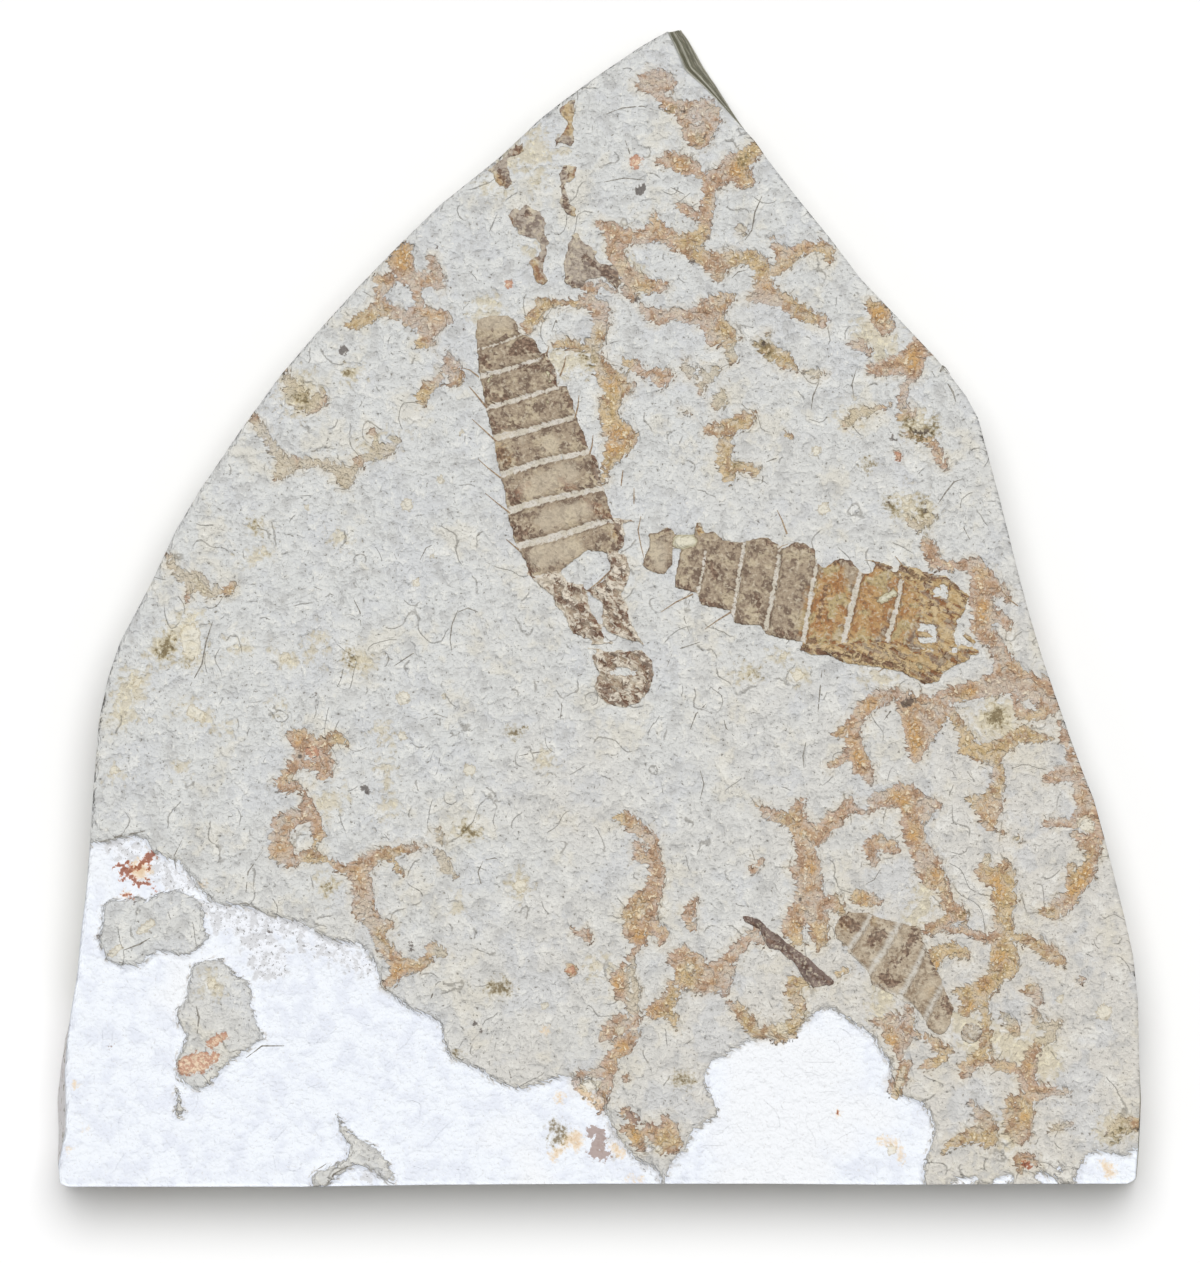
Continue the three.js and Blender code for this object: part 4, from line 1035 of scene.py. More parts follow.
# %% The iron net
def iron_stain(stone, net):
    """Tan and pink flesh with ochre and orange hearts, full of cream and dark grains."""
    hue = stone.sum("broad", "patch", 0.6)
    heart = stone.lay((187, 154, 120), (hue, -0.8, 0.8, 1, (189, 163, 116)))
    depth = stone.sum(stone.times(net, -1.2), stone.sum(stone.lumps, stone.bits), 0.22)
    dusk = stone.sum("mottle", stone.lumps, 0.9)
    hot = stone.sum("hot", stone.sum(stone.lumps, stone.bits), 0.16)
    stain = stone.lay(
        (198, 172, 152),
        (hue, -0.6, 0.6, 1, (202, 181, 147)),
        (depth, 0.1, 0.9, 1, heart),
        (dusk, 0.5, 1.9, 0.6, (172, 142, 119)),
        (dusk, -0.6, -2.0, 0.5, (216, 190, 146)),
        (hot, 0.4, -0.4, 0.75, (204, 158, 92)),
        (stone.bits, -0.4, -1.8, 0.5, (206, 196, 180)),
    )
    edges = stone.cell_edges(1.0)
    rims = stone.times(stone.mask(edges, 0.09, 0.015), stone.mask("mottle", -0.2, 1.0))
    stain = stone.mix(stone.times(rims, 0.45), stain, (156, 114, 86))
    light = stone.sum(stone.times(stone.crumbs, 0.5), stone.bits)
    light = stone.times(stone.mask(light, 0.9, 2.2), stone.mask(edges, 0.04, 0.16))
    stain = stone.mix(stone.times(light, 0.75), stain, (244, 229, 198))
    heavy = stone.sum(stone.times(stone.crumbs, 0.7), stone.lumps, -0.6)
    return stone.lay(stain, (heavy, -1.0, -2.2, 0.5, (146, 108, 80)))


# %% Marks on the stone
def lay_marks(stone, ground):
    grains = stone.sum(stone.bits, stone.crumbs)
    rough = stone.times(grains, 0.16)
    honey = stone.sum("honey", rough, 0.6)
    olive = stone.sum("olive", rough)
    pink = stone.sum("pink", rough, 0.35)
    rosy = stone.lay((196, 148, 122), (grains, -1.6, 1.6, 1, (234, 208, 178)))
    umber = stone.sum("umber", rough, 0.6)
    ground = stone.lay(
        ground,
        (honey, 0.2, -0.5, 0.7, (236, 212, 176)),
        (honey, -0.2, -0.9, 0.4, (206, 168, 124)),
        (olive, 0.6, -0.4, 0.55, (166, 150, 108)),
        (olive, 0.0, -0.6, 0.7, (108, 90, 56)),
        (pink, 0.16, -0.1, 0.9, rosy),
        (stone.math("ABSOLUTE", stone.sum(pink, 0.04)), 0.12, 0.02, 0.5, (168, 116, 92)),
        (umber, 0.15, -0.12, 0.8, (158, 132, 120)),
    )
    for name, depth, rim_colour, heart_colour, most in (
        ("cream", 0.2, (176, 160, 126), (229, 222, 202), 0.65),
        ("red", 0.1, (198, 134, 100), (150, 86, 60), 0.9),
        ("dark", 0.12, (120, 110, 102), (88, 78, 72), 0.8),
    ):
        mark = stone.ragged(name, 0.05, 0.05)
        inside = stone.lay(heart_colour, (mark, -depth, 0.0, 1, rim_colour))
        ground = stone.lay(ground, (mark, 0.08, -0.06, most, inside))
    return ground


# %% The broken wall, where the beds show as bands
# The corner of the wall that has chipped down through the white bed, in millimetres
CHIPPED_X = -52
CHIPPED_Y = -40
BEDDING_SQUEEZE = 3.5
BEDDING_SCALE = 0.8
BAND_SCALE = 0.75


def flat_grain(stone):
    """Grain flattened along the bedding."""
    join = stone.tree.nodes.new("ShaderNodeCombineXYZ")
    stone.put(join.inputs["X"], stone.x)
    stone.put(join.inputs["Y"], stone.y)
    stone.put(join.inputs["Z"], stone.times(stone.z, BEDDING_SQUEEZE))
    texture = stone.tree.nodes.new("ShaderNodeTexNoise")
    texture.inputs["Scale"].default_value = BEDDING_SCALE
    texture.inputs["Detail"].default_value = 4
    texture.inputs["Roughness"].default_value = 0.65
    stone.put(texture.inputs["Vector"], join.outputs[0])
    return stone.spread(texture.outputs["Fac"])


def wall_beds(stone):
    grain = flat_grain(stone)
    height = stone.sum(stone.z, grain, 0.08)
    bands = stone.tree.nodes.new("ShaderNodeTexNoise")
    bands.noise_dimensions = "1D"
    bands.inputs["Scale"].default_value = BAND_SCALE
    bands.inputs["Detail"].default_value = 3
    stone.put(bands.inputs["W"], stone.sum(height, "broad", 0.3))
    level = stone.spread(bands.outputs["Fac"])
    rusty = stone.sum("patch", grain, 0.8)
    beds = stone.lay(
        (108, 106, 86),
        (level, -1.0, 1.0, 1, (152, 149, 130)),
        (level, 0.5, 1.2, 0.85, (204, 202, 188)),
        (grain, 0.0, -2.0, 0.5, (78, 73, 58)),
        (grain, 0.4, 2.2, 0.5, (214, 209, 195)),
        (rusty, 1.2, 2.6, 0.45, (166, 130, 92)),
    )
    ragged = stone.sum(stone.times(grain, 0.5), stone.lumps)
    chipped = stone.mask(stone.sum(stone.x, ragged), CHIPPED_X + 0.6, CHIPPED_X)
    chipped = stone.times(chipped, stone.mask(stone.sum(stone.y, ragged), CHIPPED_Y + 1, CHIPPED_Y - 1))
    chalk = stone.lay((186, 162, 152), (grain, -2.2, -0.8, 1, (236, 233, 234)))
    return stone.mix(stone.times(chipped, 0.9), beds, chalk)


# %% The stone's finish
def stone_finish():
    stone = Finish("shale", roughness=0.92)
    grey = grey_shale(stone)
    lip = flake_lips(stone)
    # Painted shade: the grey darkens along the flake lips, where a riser faces away from the light
    grey = stone.mix(stone.times(lip, 0.6), grey, (128, 123, 115))
    white_edge = stone.ragged("white", 0.08, 0.06)
    white_mask = stone.mask(white_edge, 0.05, -0.05)
    shadow = stone.times(stone.mask(white_edge, 0.28, 0.02), stone.mask("mottle", -0.6, 0.9))
    grey = stone.mix(stone.times(shadow, 0.6), grey, (146, 140, 131))
    ground = stone.mix(white_mask, grey, chalk_bed(stone, white_edge))

    net = stone.ragged("net", 0.1, 0.04)
    halo = stone.times(stone.mask(net, 1.0, 0.0), stone.mask("mottle", -1.2, 1.0))
    ground = stone.mix(stone.times(halo, 0.35), ground, (207, 192, 163))
    strength = stone.mask(stone.sum("patch", stone.lumps, 0.6), -2.2, 0.0)
    strength = stone.sum(stone.times(strength, 0.4), 0.55)
    faint = stone.mask("faint", 0.4, -0.4)
    strength = stone.times(strength, stone.sum(stone.times(faint, -0.45), 1.0))
    net_mask = stone.mask(net, 0.1, -0.1)
    stain = stone.mix(stone.times(faint, 0.7), iron_stain(stone, net), (202, 188, 154))
    ground = stone.mix(stone.times(net_mask, strength), ground, stain)
    border = stone.mask(stone.math("ABSOLUTE", net), 0.1, 0.0)
    border = stone.times(border, stone.mask(stone.lumps, -0.8, 1.0))
    border = stone.times(border, stone.times(strength, 0.6))
    ground = stone.mix(border, ground, (146, 108, 82))
    ground = lay_marks(stone, ground)
    stone.colour(stone.mix("wall", ground, wall_beds(stone)))

    height = stone.sum(stone.times(stone.crumbs, 0.01), stone.bits, 0.022)
    height = stone.sum(height, stone.lumps, 0.04)
    height = stone.sum(height, lip, -0.06)
    height = stone.times(height, stone.sum(stone.times(white_mask, -0.5), 1.0))
    height = stone.sum(height, white_mask, -0.14)
    height = stone.sum(height, stone.times(net_mask, stone.sum(stone.times(stone.bits, 0.03), -0.08)))
    stone.bump(height)
    return stone.material


slab_mesh.materials.append(stone_finish())
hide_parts("slab")
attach(slab, "root")

# %% [markdown]
# ## A film on the stone
# Each larva is a skin of brown mineral no thicker than paper, with ragged borders. A film is made like the
# stone's face: a fine grid, cut to a border that noise has frayed, laid on the stone and given its
# thickness by one extrusion that reaches a little way into the stone.

# %% Lay a film
FILM_STEP = 0.15 * MM
FILM_ROOT = 0.5 * MM
FRAY_SIZE = 0.7 * MM
SMOOTH_ROUNDS = 3
SPARE = 2 * MM


def link_mesh(name, shape):
    mesh = bpy.data.meshes.new(name)
    shape.to_mesh(mesh)
    shape.free()
    piece = bpy.data.objects.new(name, mesh)
    bpy.context.scene.collection.objects.link(piece)
    return piece


def lay_film(name, border, lift, step=FILM_STEP):
    """A closed film over the places where border(points) is below zero, standing lift(points) high."""
    low, high = border.box
    film = flat_grid(step, low, high)
    distance = border(flat_places(film.verts))
    bmesh.ops.delete(film, geom=[v for v, gap in zip(film.verts, distance) if gap > 0], context="VERTS")
    bmesh.ops.delete(film, geom=[v for v in film.verts if not v.link_faces], context="VERTS")
    edge_verts = [vert for vert in film.verts if vert.is_boundary]
    for _ in range(SMOOTH_ROUNDS):
        bmesh.ops.smooth_vert(film, verts=edge_verts, factor=0.5, use_axis_x=True, use_axis_y=True)
    spots = flat_places(film.verts)
    ground = face_height(spots, white_distance(spots), net_distance(spots))
    tops = ground + lift(spots)
    top_verts = list(film.verts)
    made = bmesh.ops.extrude_face_region(film, geom=list(film.faces), use_keep_orig=True)["geom"]
    for vert, top in zip(top_verts, tops):
        vert.co.z = top
    for vert in (part for part in made if isinstance(part, bmesh.types.BMVert)):
        vert.co.z = SLAB_THICKNESS - WHITE_DEPTH - FILM_ROOT
    for face in film.faces:
        face.smooth = True
    bmesh.ops.recalc_face_normals(film, faces=film.faces)
    print(name, "faces:", len(film.faces))
    return link_mesh(name, film)


class Border:
    """The frayed border of a film: any number of outlines and strokes, and how much noise frays it."""

    def __init__(self, outlines=(), strokes=(), fray=0.12 * MM, margin=0.0):
        self.outlines = [outline_on_stone(outline) for outline in outlines]
        self.strokes = strokes
        self.fray = fray
        self.margin = margin
        corners = [corner for outline in self.outlines for corner in outline]
        corners += [on_stone(x, y) for stroke in strokes for x, y, radius in stroke]
        self.box = (np.min(corners, axis=0) - SPARE, np.max(corners, axis=0) + SPARE)

    def plain(self, points):
        nearest = stroke_distance(points, self.strokes)
        for outline in self.outlines:
            nearest = np.minimum(nearest, outline_distance(points, outline))
        return nearest

    def __call__(self, points):
        frayed = noise_field(points, FRAY_SIZE, octaves=3, shift=4.2) * self.fray
        return self.plain(points) + frayed - self.margin


# %% [markdown]
# ## The larvae
# The abdomen of a mayfly larva is a row of hard plates with soft joints between them. The plates survive
# as brown film and the joints as pale lines. The thorax and head have burst, so they are a scatter of
# splinters. The plates are drawn as outlines, the splinters as strokes, in pixels of the photograph.

# %% The upper larva
UPPER_PARTS_PX = {
    "body": [[
        (477, 319), (488, 315), (507, 314), (517, 321), (521, 333), (536, 339), (541, 353), (547, 353),
        (555, 372), (557, 384), (567, 385), (573, 400), (577, 417), (584, 433), (590, 449), (597, 459),
        (600, 475), (605, 490), (609, 501), (613, 517), (619, 525), (624, 537), (624, 548), (614, 557),
        (604, 553), (588, 550), (579, 558), (566, 567), (558, 576), (546, 574), (533, 577), (527, 568),
        (520, 554), (513, 540), (508, 520), (505, 505), (503, 488), (498, 468), (494, 446), (489, 424),
        (484, 403), (479, 378), (476, 350), (474, 334),
    ]],
    "joint": [
        [(476, 350, 0.8), (500, 343, 0.9), (523, 334, 0.8)],
        [(478, 377, 2.2), (509, 369, 2.0), (542, 358, 1.3)],
        [(484, 409, 2.2), (522, 398, 2.2), (558, 387, 1.6)],
        [(491, 439, 3.2), (518, 433, 3.0), (574, 417, 2.0)],
        [(500, 475, 3.0), (540, 462, 2.8), (590, 451, 2.4)],
        [(508, 511, 3.4), (544, 500, 3.0), (605, 488, 2.4)],
        [(518, 546, 3.6), (558, 536, 3.4), (598, 523, 3.0), (612, 521, 1.5)],
    ],
    "husk": [
        [
            (534, 578), (546, 574), (560, 572), (570, 582), (584, 584), (588, 596), (592, 612), (602, 626),
            (606, 640), (596, 642), (582, 638), (572, 634), (566, 622), (562, 612), (554, 606), (552, 596),
            (540, 588),
        ],
        [
            (606, 554), (620, 552), (628, 556), (631, 570), (628, 584), (622, 594), (628, 606), (630, 618),
            (637, 630), (643, 642), (632, 642), (620, 638), (606, 632), (600, 618), (602, 604), (592, 598),
            (588, 590), (602, 580), (610, 570),
        ],
        [
            (590, 654), (600, 650), (614, 650), (630, 650), (644, 650), (653, 660), (654, 676), (650, 692),
            (640, 703), (624, 709), (608, 705), (597, 696), (593, 686), (598, 674), (594, 664),
        ],
    ],
    "splinter": [
        [(538, 566, 3), (530, 572, 2)], [(528, 574, 2), (535, 580, 2)], [(592, 644, 2), (612, 643, 2)],
        [(634, 634, 2), (643, 644, 2)], [(588, 648, 1), (600, 650, 2)],
        [(613, 519, 2), (624, 521, 3), (634, 521, 1)], [(618, 522, 4), (622, 534, 4), (621, 546, 3)],
        [(546, 354, 2), (554, 370, 3), (556, 382, 2)], [(594, 456, 2), (598, 470, 3), (600, 482, 2)],
    ],
    "soot": [
        [(512, 352, 4), (526, 342, 6), (532, 350, 5)], [(487, 392, 3), (494, 400, 4), (504, 398, 3)],
        [(546, 356, 2), (553, 372, 3), (554, 382, 2)], [(491, 420, 3), (498, 430, 3), (516, 426, 3)],
        [(582, 434, 4), (586, 444, 4)], [(500, 452, 4), (508, 466, 3)], [(594, 462, 3), (598, 478, 3)],
        [(545, 480, 1), (556, 487, 2), (571, 492, 1)], [(506, 488, 3), (512, 500, 4), (524, 498, 2)],
        [(583, 499, 2), (595, 508, 2), (610, 518, 2)], [(512, 522, 4), (520, 534, 5), (530, 528, 3)],
        [(616, 524, 3), (621, 536, 3), (619, 548, 2)], [(524, 560, 3), (532, 570, 3)],
        [(484, 356, 3), (486, 368, 3)], [(566, 392, 3), (572, 406, 3)], [(552, 404, 2)],
        [(536, 368, 2), (520, 366, 2)], [(587, 591, 1), (600, 582, 1), (613, 568, 1)],
        [(556, 577, 2), (562, 586, 2)], [(558, 598, 3), (570, 604, 4), (584, 611, 3)],
        [(572, 590, 2), (580, 592, 2)], [(582, 620, 3), (596, 634, 3)], [(572, 622, 1), (580, 634, 2)],
        [(608, 560, 3), (622, 566, 3), (620, 578, 2)], [(604, 600, 3), (616, 618, 3)],
        [(618, 608, 2), (628, 622, 3)], [(624, 630, 2), (634, 638, 2)], [(612, 588, 2), (600, 594, 1)],
        [(594, 656, 2), (606, 664, 2)], [(613, 653, 2), (617, 664, 2)], [(624, 653, 1), (629, 664, 2)],
        [(640, 654, 3), (650, 664, 4), (650, 680, 3), (646, 690, 3), (638, 698, 3)],
        [(608, 672, 1), (604, 680, 1)], [(630, 706, 2), (616, 701, 3), (604, 693, 4), (601, 686, 3)],
        [(606, 688, 3), (612, 694, 3)], [(622, 688, 2), (628, 684, 1)], [(634, 672, 1), (640, 680, 1)],
    ],
    "warm": [
        [(583, 499, 2), (595, 508, 3), (612, 519, 3), (632, 520, 3)], [(496, 452, 5), (508, 460, 5)],
        [(520, 492, 3), (528, 484, 3)], [(616, 534, 5)], [(564, 600, 5), (584, 618, 4)], [(606, 560, 4)],
        [(614, 658, 5), (624, 658, 4)], [(598, 662, 5)], [(640, 692, 4)], [(616, 612, 3)], [(500, 446, 3)],
        [(560, 480, 2), (572, 490, 2)], [(606, 694, 4)],
    ],
    "pale": [
        [(486, 320, 9), (506, 320, 8)], [(614, 674, 5), (624, 671, 5), (636, 672, 3)],
        [(540, 556, 12), (572, 548, 9)], [(530, 488, 10), (568, 472, 10)], [(546, 520, 10), (584, 508, 8)],
        [(550, 444, 8)], [(616, 684, 3)], [(622, 562, 3)], [(560, 608, 2), (574, 614, 2)], [(612, 612, 2)],
        [(602, 676, 3)], [(636, 684, 3)], [(592, 646, 3)], [(596, 648, 3), (620, 645, 3)], [(576, 598, 2)],
        [(560, 590, 2)], [(598, 604, 2)], [(500, 437, 3), (510, 433, 3)], [(521, 440, 2)], [(618, 592, 2)],
        [(588, 626, 2)], [(510, 476, 2)],
    ],
    # Cream nodules; the first two spots, by the spines, are painted glints, cream and raised a little
    "nodule_and_glint": [
        [(548, 373, 1), (550, 380, 1)], [(488, 381, 1), (491, 377, 1)], [(529, 478, 1)], [(548, 402, 1)],
    ],
    "hole": [[(611, 673, 3), (622, 671, 5), (634, 673, 3)]],
}

# %% The right larva
RIGHT_PARTS_PX = {
    "body": [
        [
            (648, 533), (658, 531), (668, 526), (675, 531), (678, 540), (673, 549), (673, 566), (664, 575),
            (652, 573), (643, 568), (642, 560), (648, 548),
        ],
        [
            (679, 551), (686, 546), (693, 546), (694, 526), (700, 524), (706, 532), (716, 531), (723, 539),
            (741, 542), (749, 539), (766, 536), (777, 543), (782, 548), (788, 546), (794, 540), (806, 543),
            (816, 549), (817, 562), (825, 567), (832, 561), (841, 557), (852, 560), (858, 567), (863, 573),
            (872, 571), (875, 562), (884, 563), (893, 570), (902, 577), (914, 574), (928, 577), (947, 577),
            (958, 585), (966, 595), (965, 610), (958, 622), (952, 634), (956, 646), (946, 656), (936, 650),
            (914, 648), (886, 647), (846, 646), (838, 653), (812, 654), (798, 650), (803, 643), (779, 639),
            (765, 634), (761, 627), (735, 624), (729, 612), (720, 609), (700, 606), (697, 594), (673, 588),
            (676, 570),
        ],
    ],
    "joint": [
        [(705, 552, 1.0), (703, 570, 1.2), (698, 592, 1.2)],
        [(744, 542, 1.4), (741, 562, 1.6), (732, 620, 1.8)],
        [(780, 545, 1.6), (777, 571, 1.8), (766, 628, 2.2)],
        [(818, 560, 1.6), (813, 584, 2.0), (802, 646, 2.2)],
        [(861, 572, 2.0), (854, 598, 2.8), (843, 644, 2.6)],
        [(902, 578, 1.8), (896, 611, 2.2), (885, 647, 2.2)],
    ],
    "husk": [
        [
            (797, 650), (804, 642), (822, 645), (846, 641), (880, 642), (908, 644), (918, 648), (932, 650),
            (946, 650), (958, 652), (970, 650), (972, 660), (956, 666), (943, 674), (940, 682), (924, 685),
            (904, 674), (884, 669), (858, 666), (842, 663), (828, 656), (812, 656),
        ],
        [
            (900, 564), (914, 566), (930, 572), (946, 575), (960, 586), (970, 596), (966, 611), (960, 622),
            (954, 634), (958, 648), (940, 652), (920, 648), (914, 640), (922, 616), (918, 600), (914, 588),
            (904, 580), (896, 572),
        ],
    ],
    "splinter": [
        [(964, 634, 3), (974, 642, 3)], [(866, 560, 1), (878, 562, 2), (892, 568, 2)],
        [(960, 648, 4), (976, 652, 4)], [(699, 524, 3), (701, 532, 3)], [(926, 598, 3), (940, 612, 3)],
    ],
    "soot": [
        [(748, 538, 2), (760, 536, 2), (774, 543, 2)], [(676, 584, 2), (692, 591, 2)], [(699, 526, 4)],
        [(700, 600, 3), (722, 608, 2)], [(790, 543, 2), (814, 550, 2)], [(642, 568, 1), (664, 576, 1)],
        [(832, 561, 2), (844, 557, 3), (857, 565, 3)],
        [(800, 650, 3), (830, 652, 2), (862, 658, 3), (904, 668, 2)],
        [(868, 570, 2), (876, 563, 3), (890, 568, 2), (900, 576, 2)],
        [(902, 568, 2), (912, 574, 3), (930, 580, 3)], [(880, 645, 1), (898, 660, 2), (918, 674, 1)],
        [(922, 682, 3), (930, 680, 3)], [(790, 636, 3), (778, 632, 3)], [(756, 596, 2), (760, 612, 2)],
        [(726, 534, 2), (732, 541, 1)], [(930, 604, 1), (948, 612, 1)], [(812, 640, 3), (804, 649, 3)],
        [(708, 560, 3), (716, 576, 3)], [(826, 590, 2), (818, 620, 2)], [(856, 660, 2), (884, 664, 2)],
        [(946, 578, 1), (960, 590, 2), (965, 604, 1)], [(945, 655, 2), (938, 668, 2)],
        [(822, 656, 2), (840, 660, 2)], [(668, 530, 2), (656, 534, 1)],
    ],
    "warm": [
        [(832, 572, 12), (830, 600, 24), (818, 630, 18)], [(874, 580, 16), (868, 606, 26), (858, 634, 18)],
        [(902, 576, 14), (906, 606, 16), (896, 636, 12)], [(930, 590, 18), (950, 610, 16), (950, 650, 14)],
        [(820, 650, 12), (880, 660, 14), (930, 670, 14)],
    ],
    "pale": [
        [(657, 548, 9), (660, 564, 6)], [(948, 630, 4)], [(876, 653, 1), (892, 656, 1)], [(940, 662, 2)],
    ],
    "nodule_and_glint": [
        [(680, 542, 8), (690, 541, 7)], [(882, 600, 4), (893, 593, 3)], [(917, 664, 1), (921, 667, 2)],
    ],
    "hole": [
        [(938, 592, 5), (945, 595, 4), (943, 588, 4)],
        [(922, 628, 4), (932, 627, 4), (934, 639, 4), (921, 640, 3)], [(960, 622, 4), (963, 631, 4)],
    ],
}

# %% The lower larva
LOWER_PARTS_PX = {
    "body": [[
        (833, 927), (840, 916), (848, 911), (870, 912), (880, 917), (899, 922), (921, 927), (925, 945),
        (933, 962), (941, 976), (946, 990), (955, 1008), (951, 1025), (945, 1034), (939, 1036), (928, 1030),
        (922, 1018), (912, 1004), (902, 996), (886, 990), (870, 982), (866, 968), (856, 960), (846, 946),
        (835, 939),
    ]],
    "joint": [
        [(873, 911, 1.6), (862, 930, 2.2), (848, 950, 2.0)],
        [(901, 920, 2.0), (888, 944, 2.8), (867, 976, 2.4)],
        [(927, 944, 1.6), (914, 972, 2.4), (898, 1000, 2.2)],
        [(946, 980, 1.4), (934, 1000, 2.2), (922, 1024, 2.0)],
    ],
    "husk": [
        [(960, 1032), (963, 1024), (972, 1021), (981, 1025), (984, 1033), (979, 1042), (968, 1045),
         (961, 1040)],
    ],
    "splinter": [
        [(842, 945, 1), (856, 960, 1), (867, 970, 1)], [(872, 984, 1), (892, 994, 1), (908, 1004, 1)],
    ],
    "soot": [
        [(842, 918, 4), (853, 926, 6)], [(872, 940, 5), (882, 934, 6)], [(884, 976, 5), (893, 984, 4)],
        [(914, 936, 4), (906, 950, 4)], [(945, 998, 3), (949, 1010, 4)], [(896, 962, 4)], [(936, 1018, 3)],
        [(981, 1028, 1), (981, 1038, 1), (972, 1044, 1)], [(914, 926, 1), (925, 944, 1), (937, 976, 1)],
    ],
    "warm": [[(845, 925, 6)], [(930, 990, 5)], [(872, 920, 4)]],
    "pale": [
        [(932, 984, 5), (922, 994, 5)], [(898, 940, 4)], [(880, 964, 4)], [(944, 1024, 6)], [(972, 1032, 3)],
    ],
    "nodule_and_glint": [],
    "hole": [],
}

# %% [markdown]
# The plates bulge a little, the joints lie low, and the splinters are sharp crests. All of it is less than
# half a millimetre high. A bump in the material could shade it, but a true height also shows from the side.

# %% Lay the larvae
JOINT_LIFT = 0.03 * MM
PLATE_LIFT = 0.16 * MM
PLATE_RIM = 0.28 * MM
SPLINTER_LIFT = 0.3 * MM
NODULE_LIFT = 0.35 * MM
FILM_ROUGHNESS = 0.025 * MM
HOLE_SHARE = 0.9


def crumple(points):
    """Sharp, irregular crests from 0 to about 1, for what was crushed."""
    return 1 - 2 * np.abs(noise_field(points, 0.8 * MM, octaves=3, shift=9.0))


def lay_larva(name, parts):
    """One larva's film, which stores how far each point is from each kind of part, for its finish."""
    body = Border(parts["body"])
    crushed = Border(parts["husk"], parts["splinter"])

    def plate_distance(points):
        return np.maximum(body.plain(points), -stroke_distance(points, parts["joint"]))

    def lift(points):
        plate = ramp(-plate_distance(points), -0.03 * MM, PLATE_RIM)
        splinter = ramp(-crushed.plain(points), -0.1 * MM, 0.3 * MM)
        hole = ramp(-stroke_distance(points, parts["hole"]), -0.1 * MM, 0.1 * MM)
        nodule_and_glint = ramp(-stroke_distance(points, parts["nodule_and_glint"]), -0.1 * MM, 0.5 * MM)
        rough = noise_field(points, 0.6 * MM, octaves=3, shift=6.0)
        height = np.maximum(plate * PLATE_LIFT, splinter * SPLINTER_LIFT * np.clip(crumple(points), 0, 1))
        height = np.maximum(height, nodule_and_glint * NODULE_LIFT)
        return JOINT_LIFT + (height + rough * FILM_ROUGHNESS) * (1 - HOLE_SHARE * hole)

    outlines = parts["body"] + parts["husk"]
    film = lay_film(name, Border(outlines, parts["splinter"] + parts["nodule_and_glint"], margin=0.06 * MM), lift)
    spots = vertex_places(film)[:, :2]
    store(film, "plate", np.clip(plate_distance(spots) / MM, -REACH, REACH))
    store(film, "husk", np.clip(crushed.plain(spots) / MM, -REACH, REACH))
    for part in ("soot", "warm", "pale", "nodule_and_glint", "hole"):
        store(film, part, np.clip(stroke_distance(spots, parts[part]) / MM, -REACH, REACH))
    return film


# %% [markdown]
# A plate is taupe, blotched with darker and lighter brown, and a dark line runs round it. Between the plates
# lie pale joints, and the crushed parts are splinters of every brown. The masks read the distances that the
# film stores, so one recipe serves the larvae, the scraps and the plant, each with colours of its own.

# %% The finish of the films
def plate_skin(film, colours, warm_colours):
    """The plates: brown in soft patches, with warm streaks and fine grains."""
    plain, shaded, light = colours
    broad = film.noise(2.2, shift=5)
    warm_skin = film.lay(
        warm_colours[0], (film.lumps, -1.2, 1.2, 1, warm_colours[1]), (broad, 0.0, 1.4, 1, warm_colours[2]),
    )
    fine = film.sum(film.times(film.crumbs, 0.6), film.bits, 0.5)
    return film.lay(
        plain,
        (film.sum(broad, film.bits, 0.3), -0.2, 1.8, 1, light),
        (film.sum(film.lumps, film.bits, 0.5), 0.1, 1.9, 1, shaded),
        (film.ragged("warm", 0.16, 0.06), 0.4, -0.5, 0.9, warm_skin),
        (fine, 0.2, 2.0, 0.7, (206, 193, 171)),
        (fine, -0.2, -2.0, 0.6, (112, 94, 80)),
    )


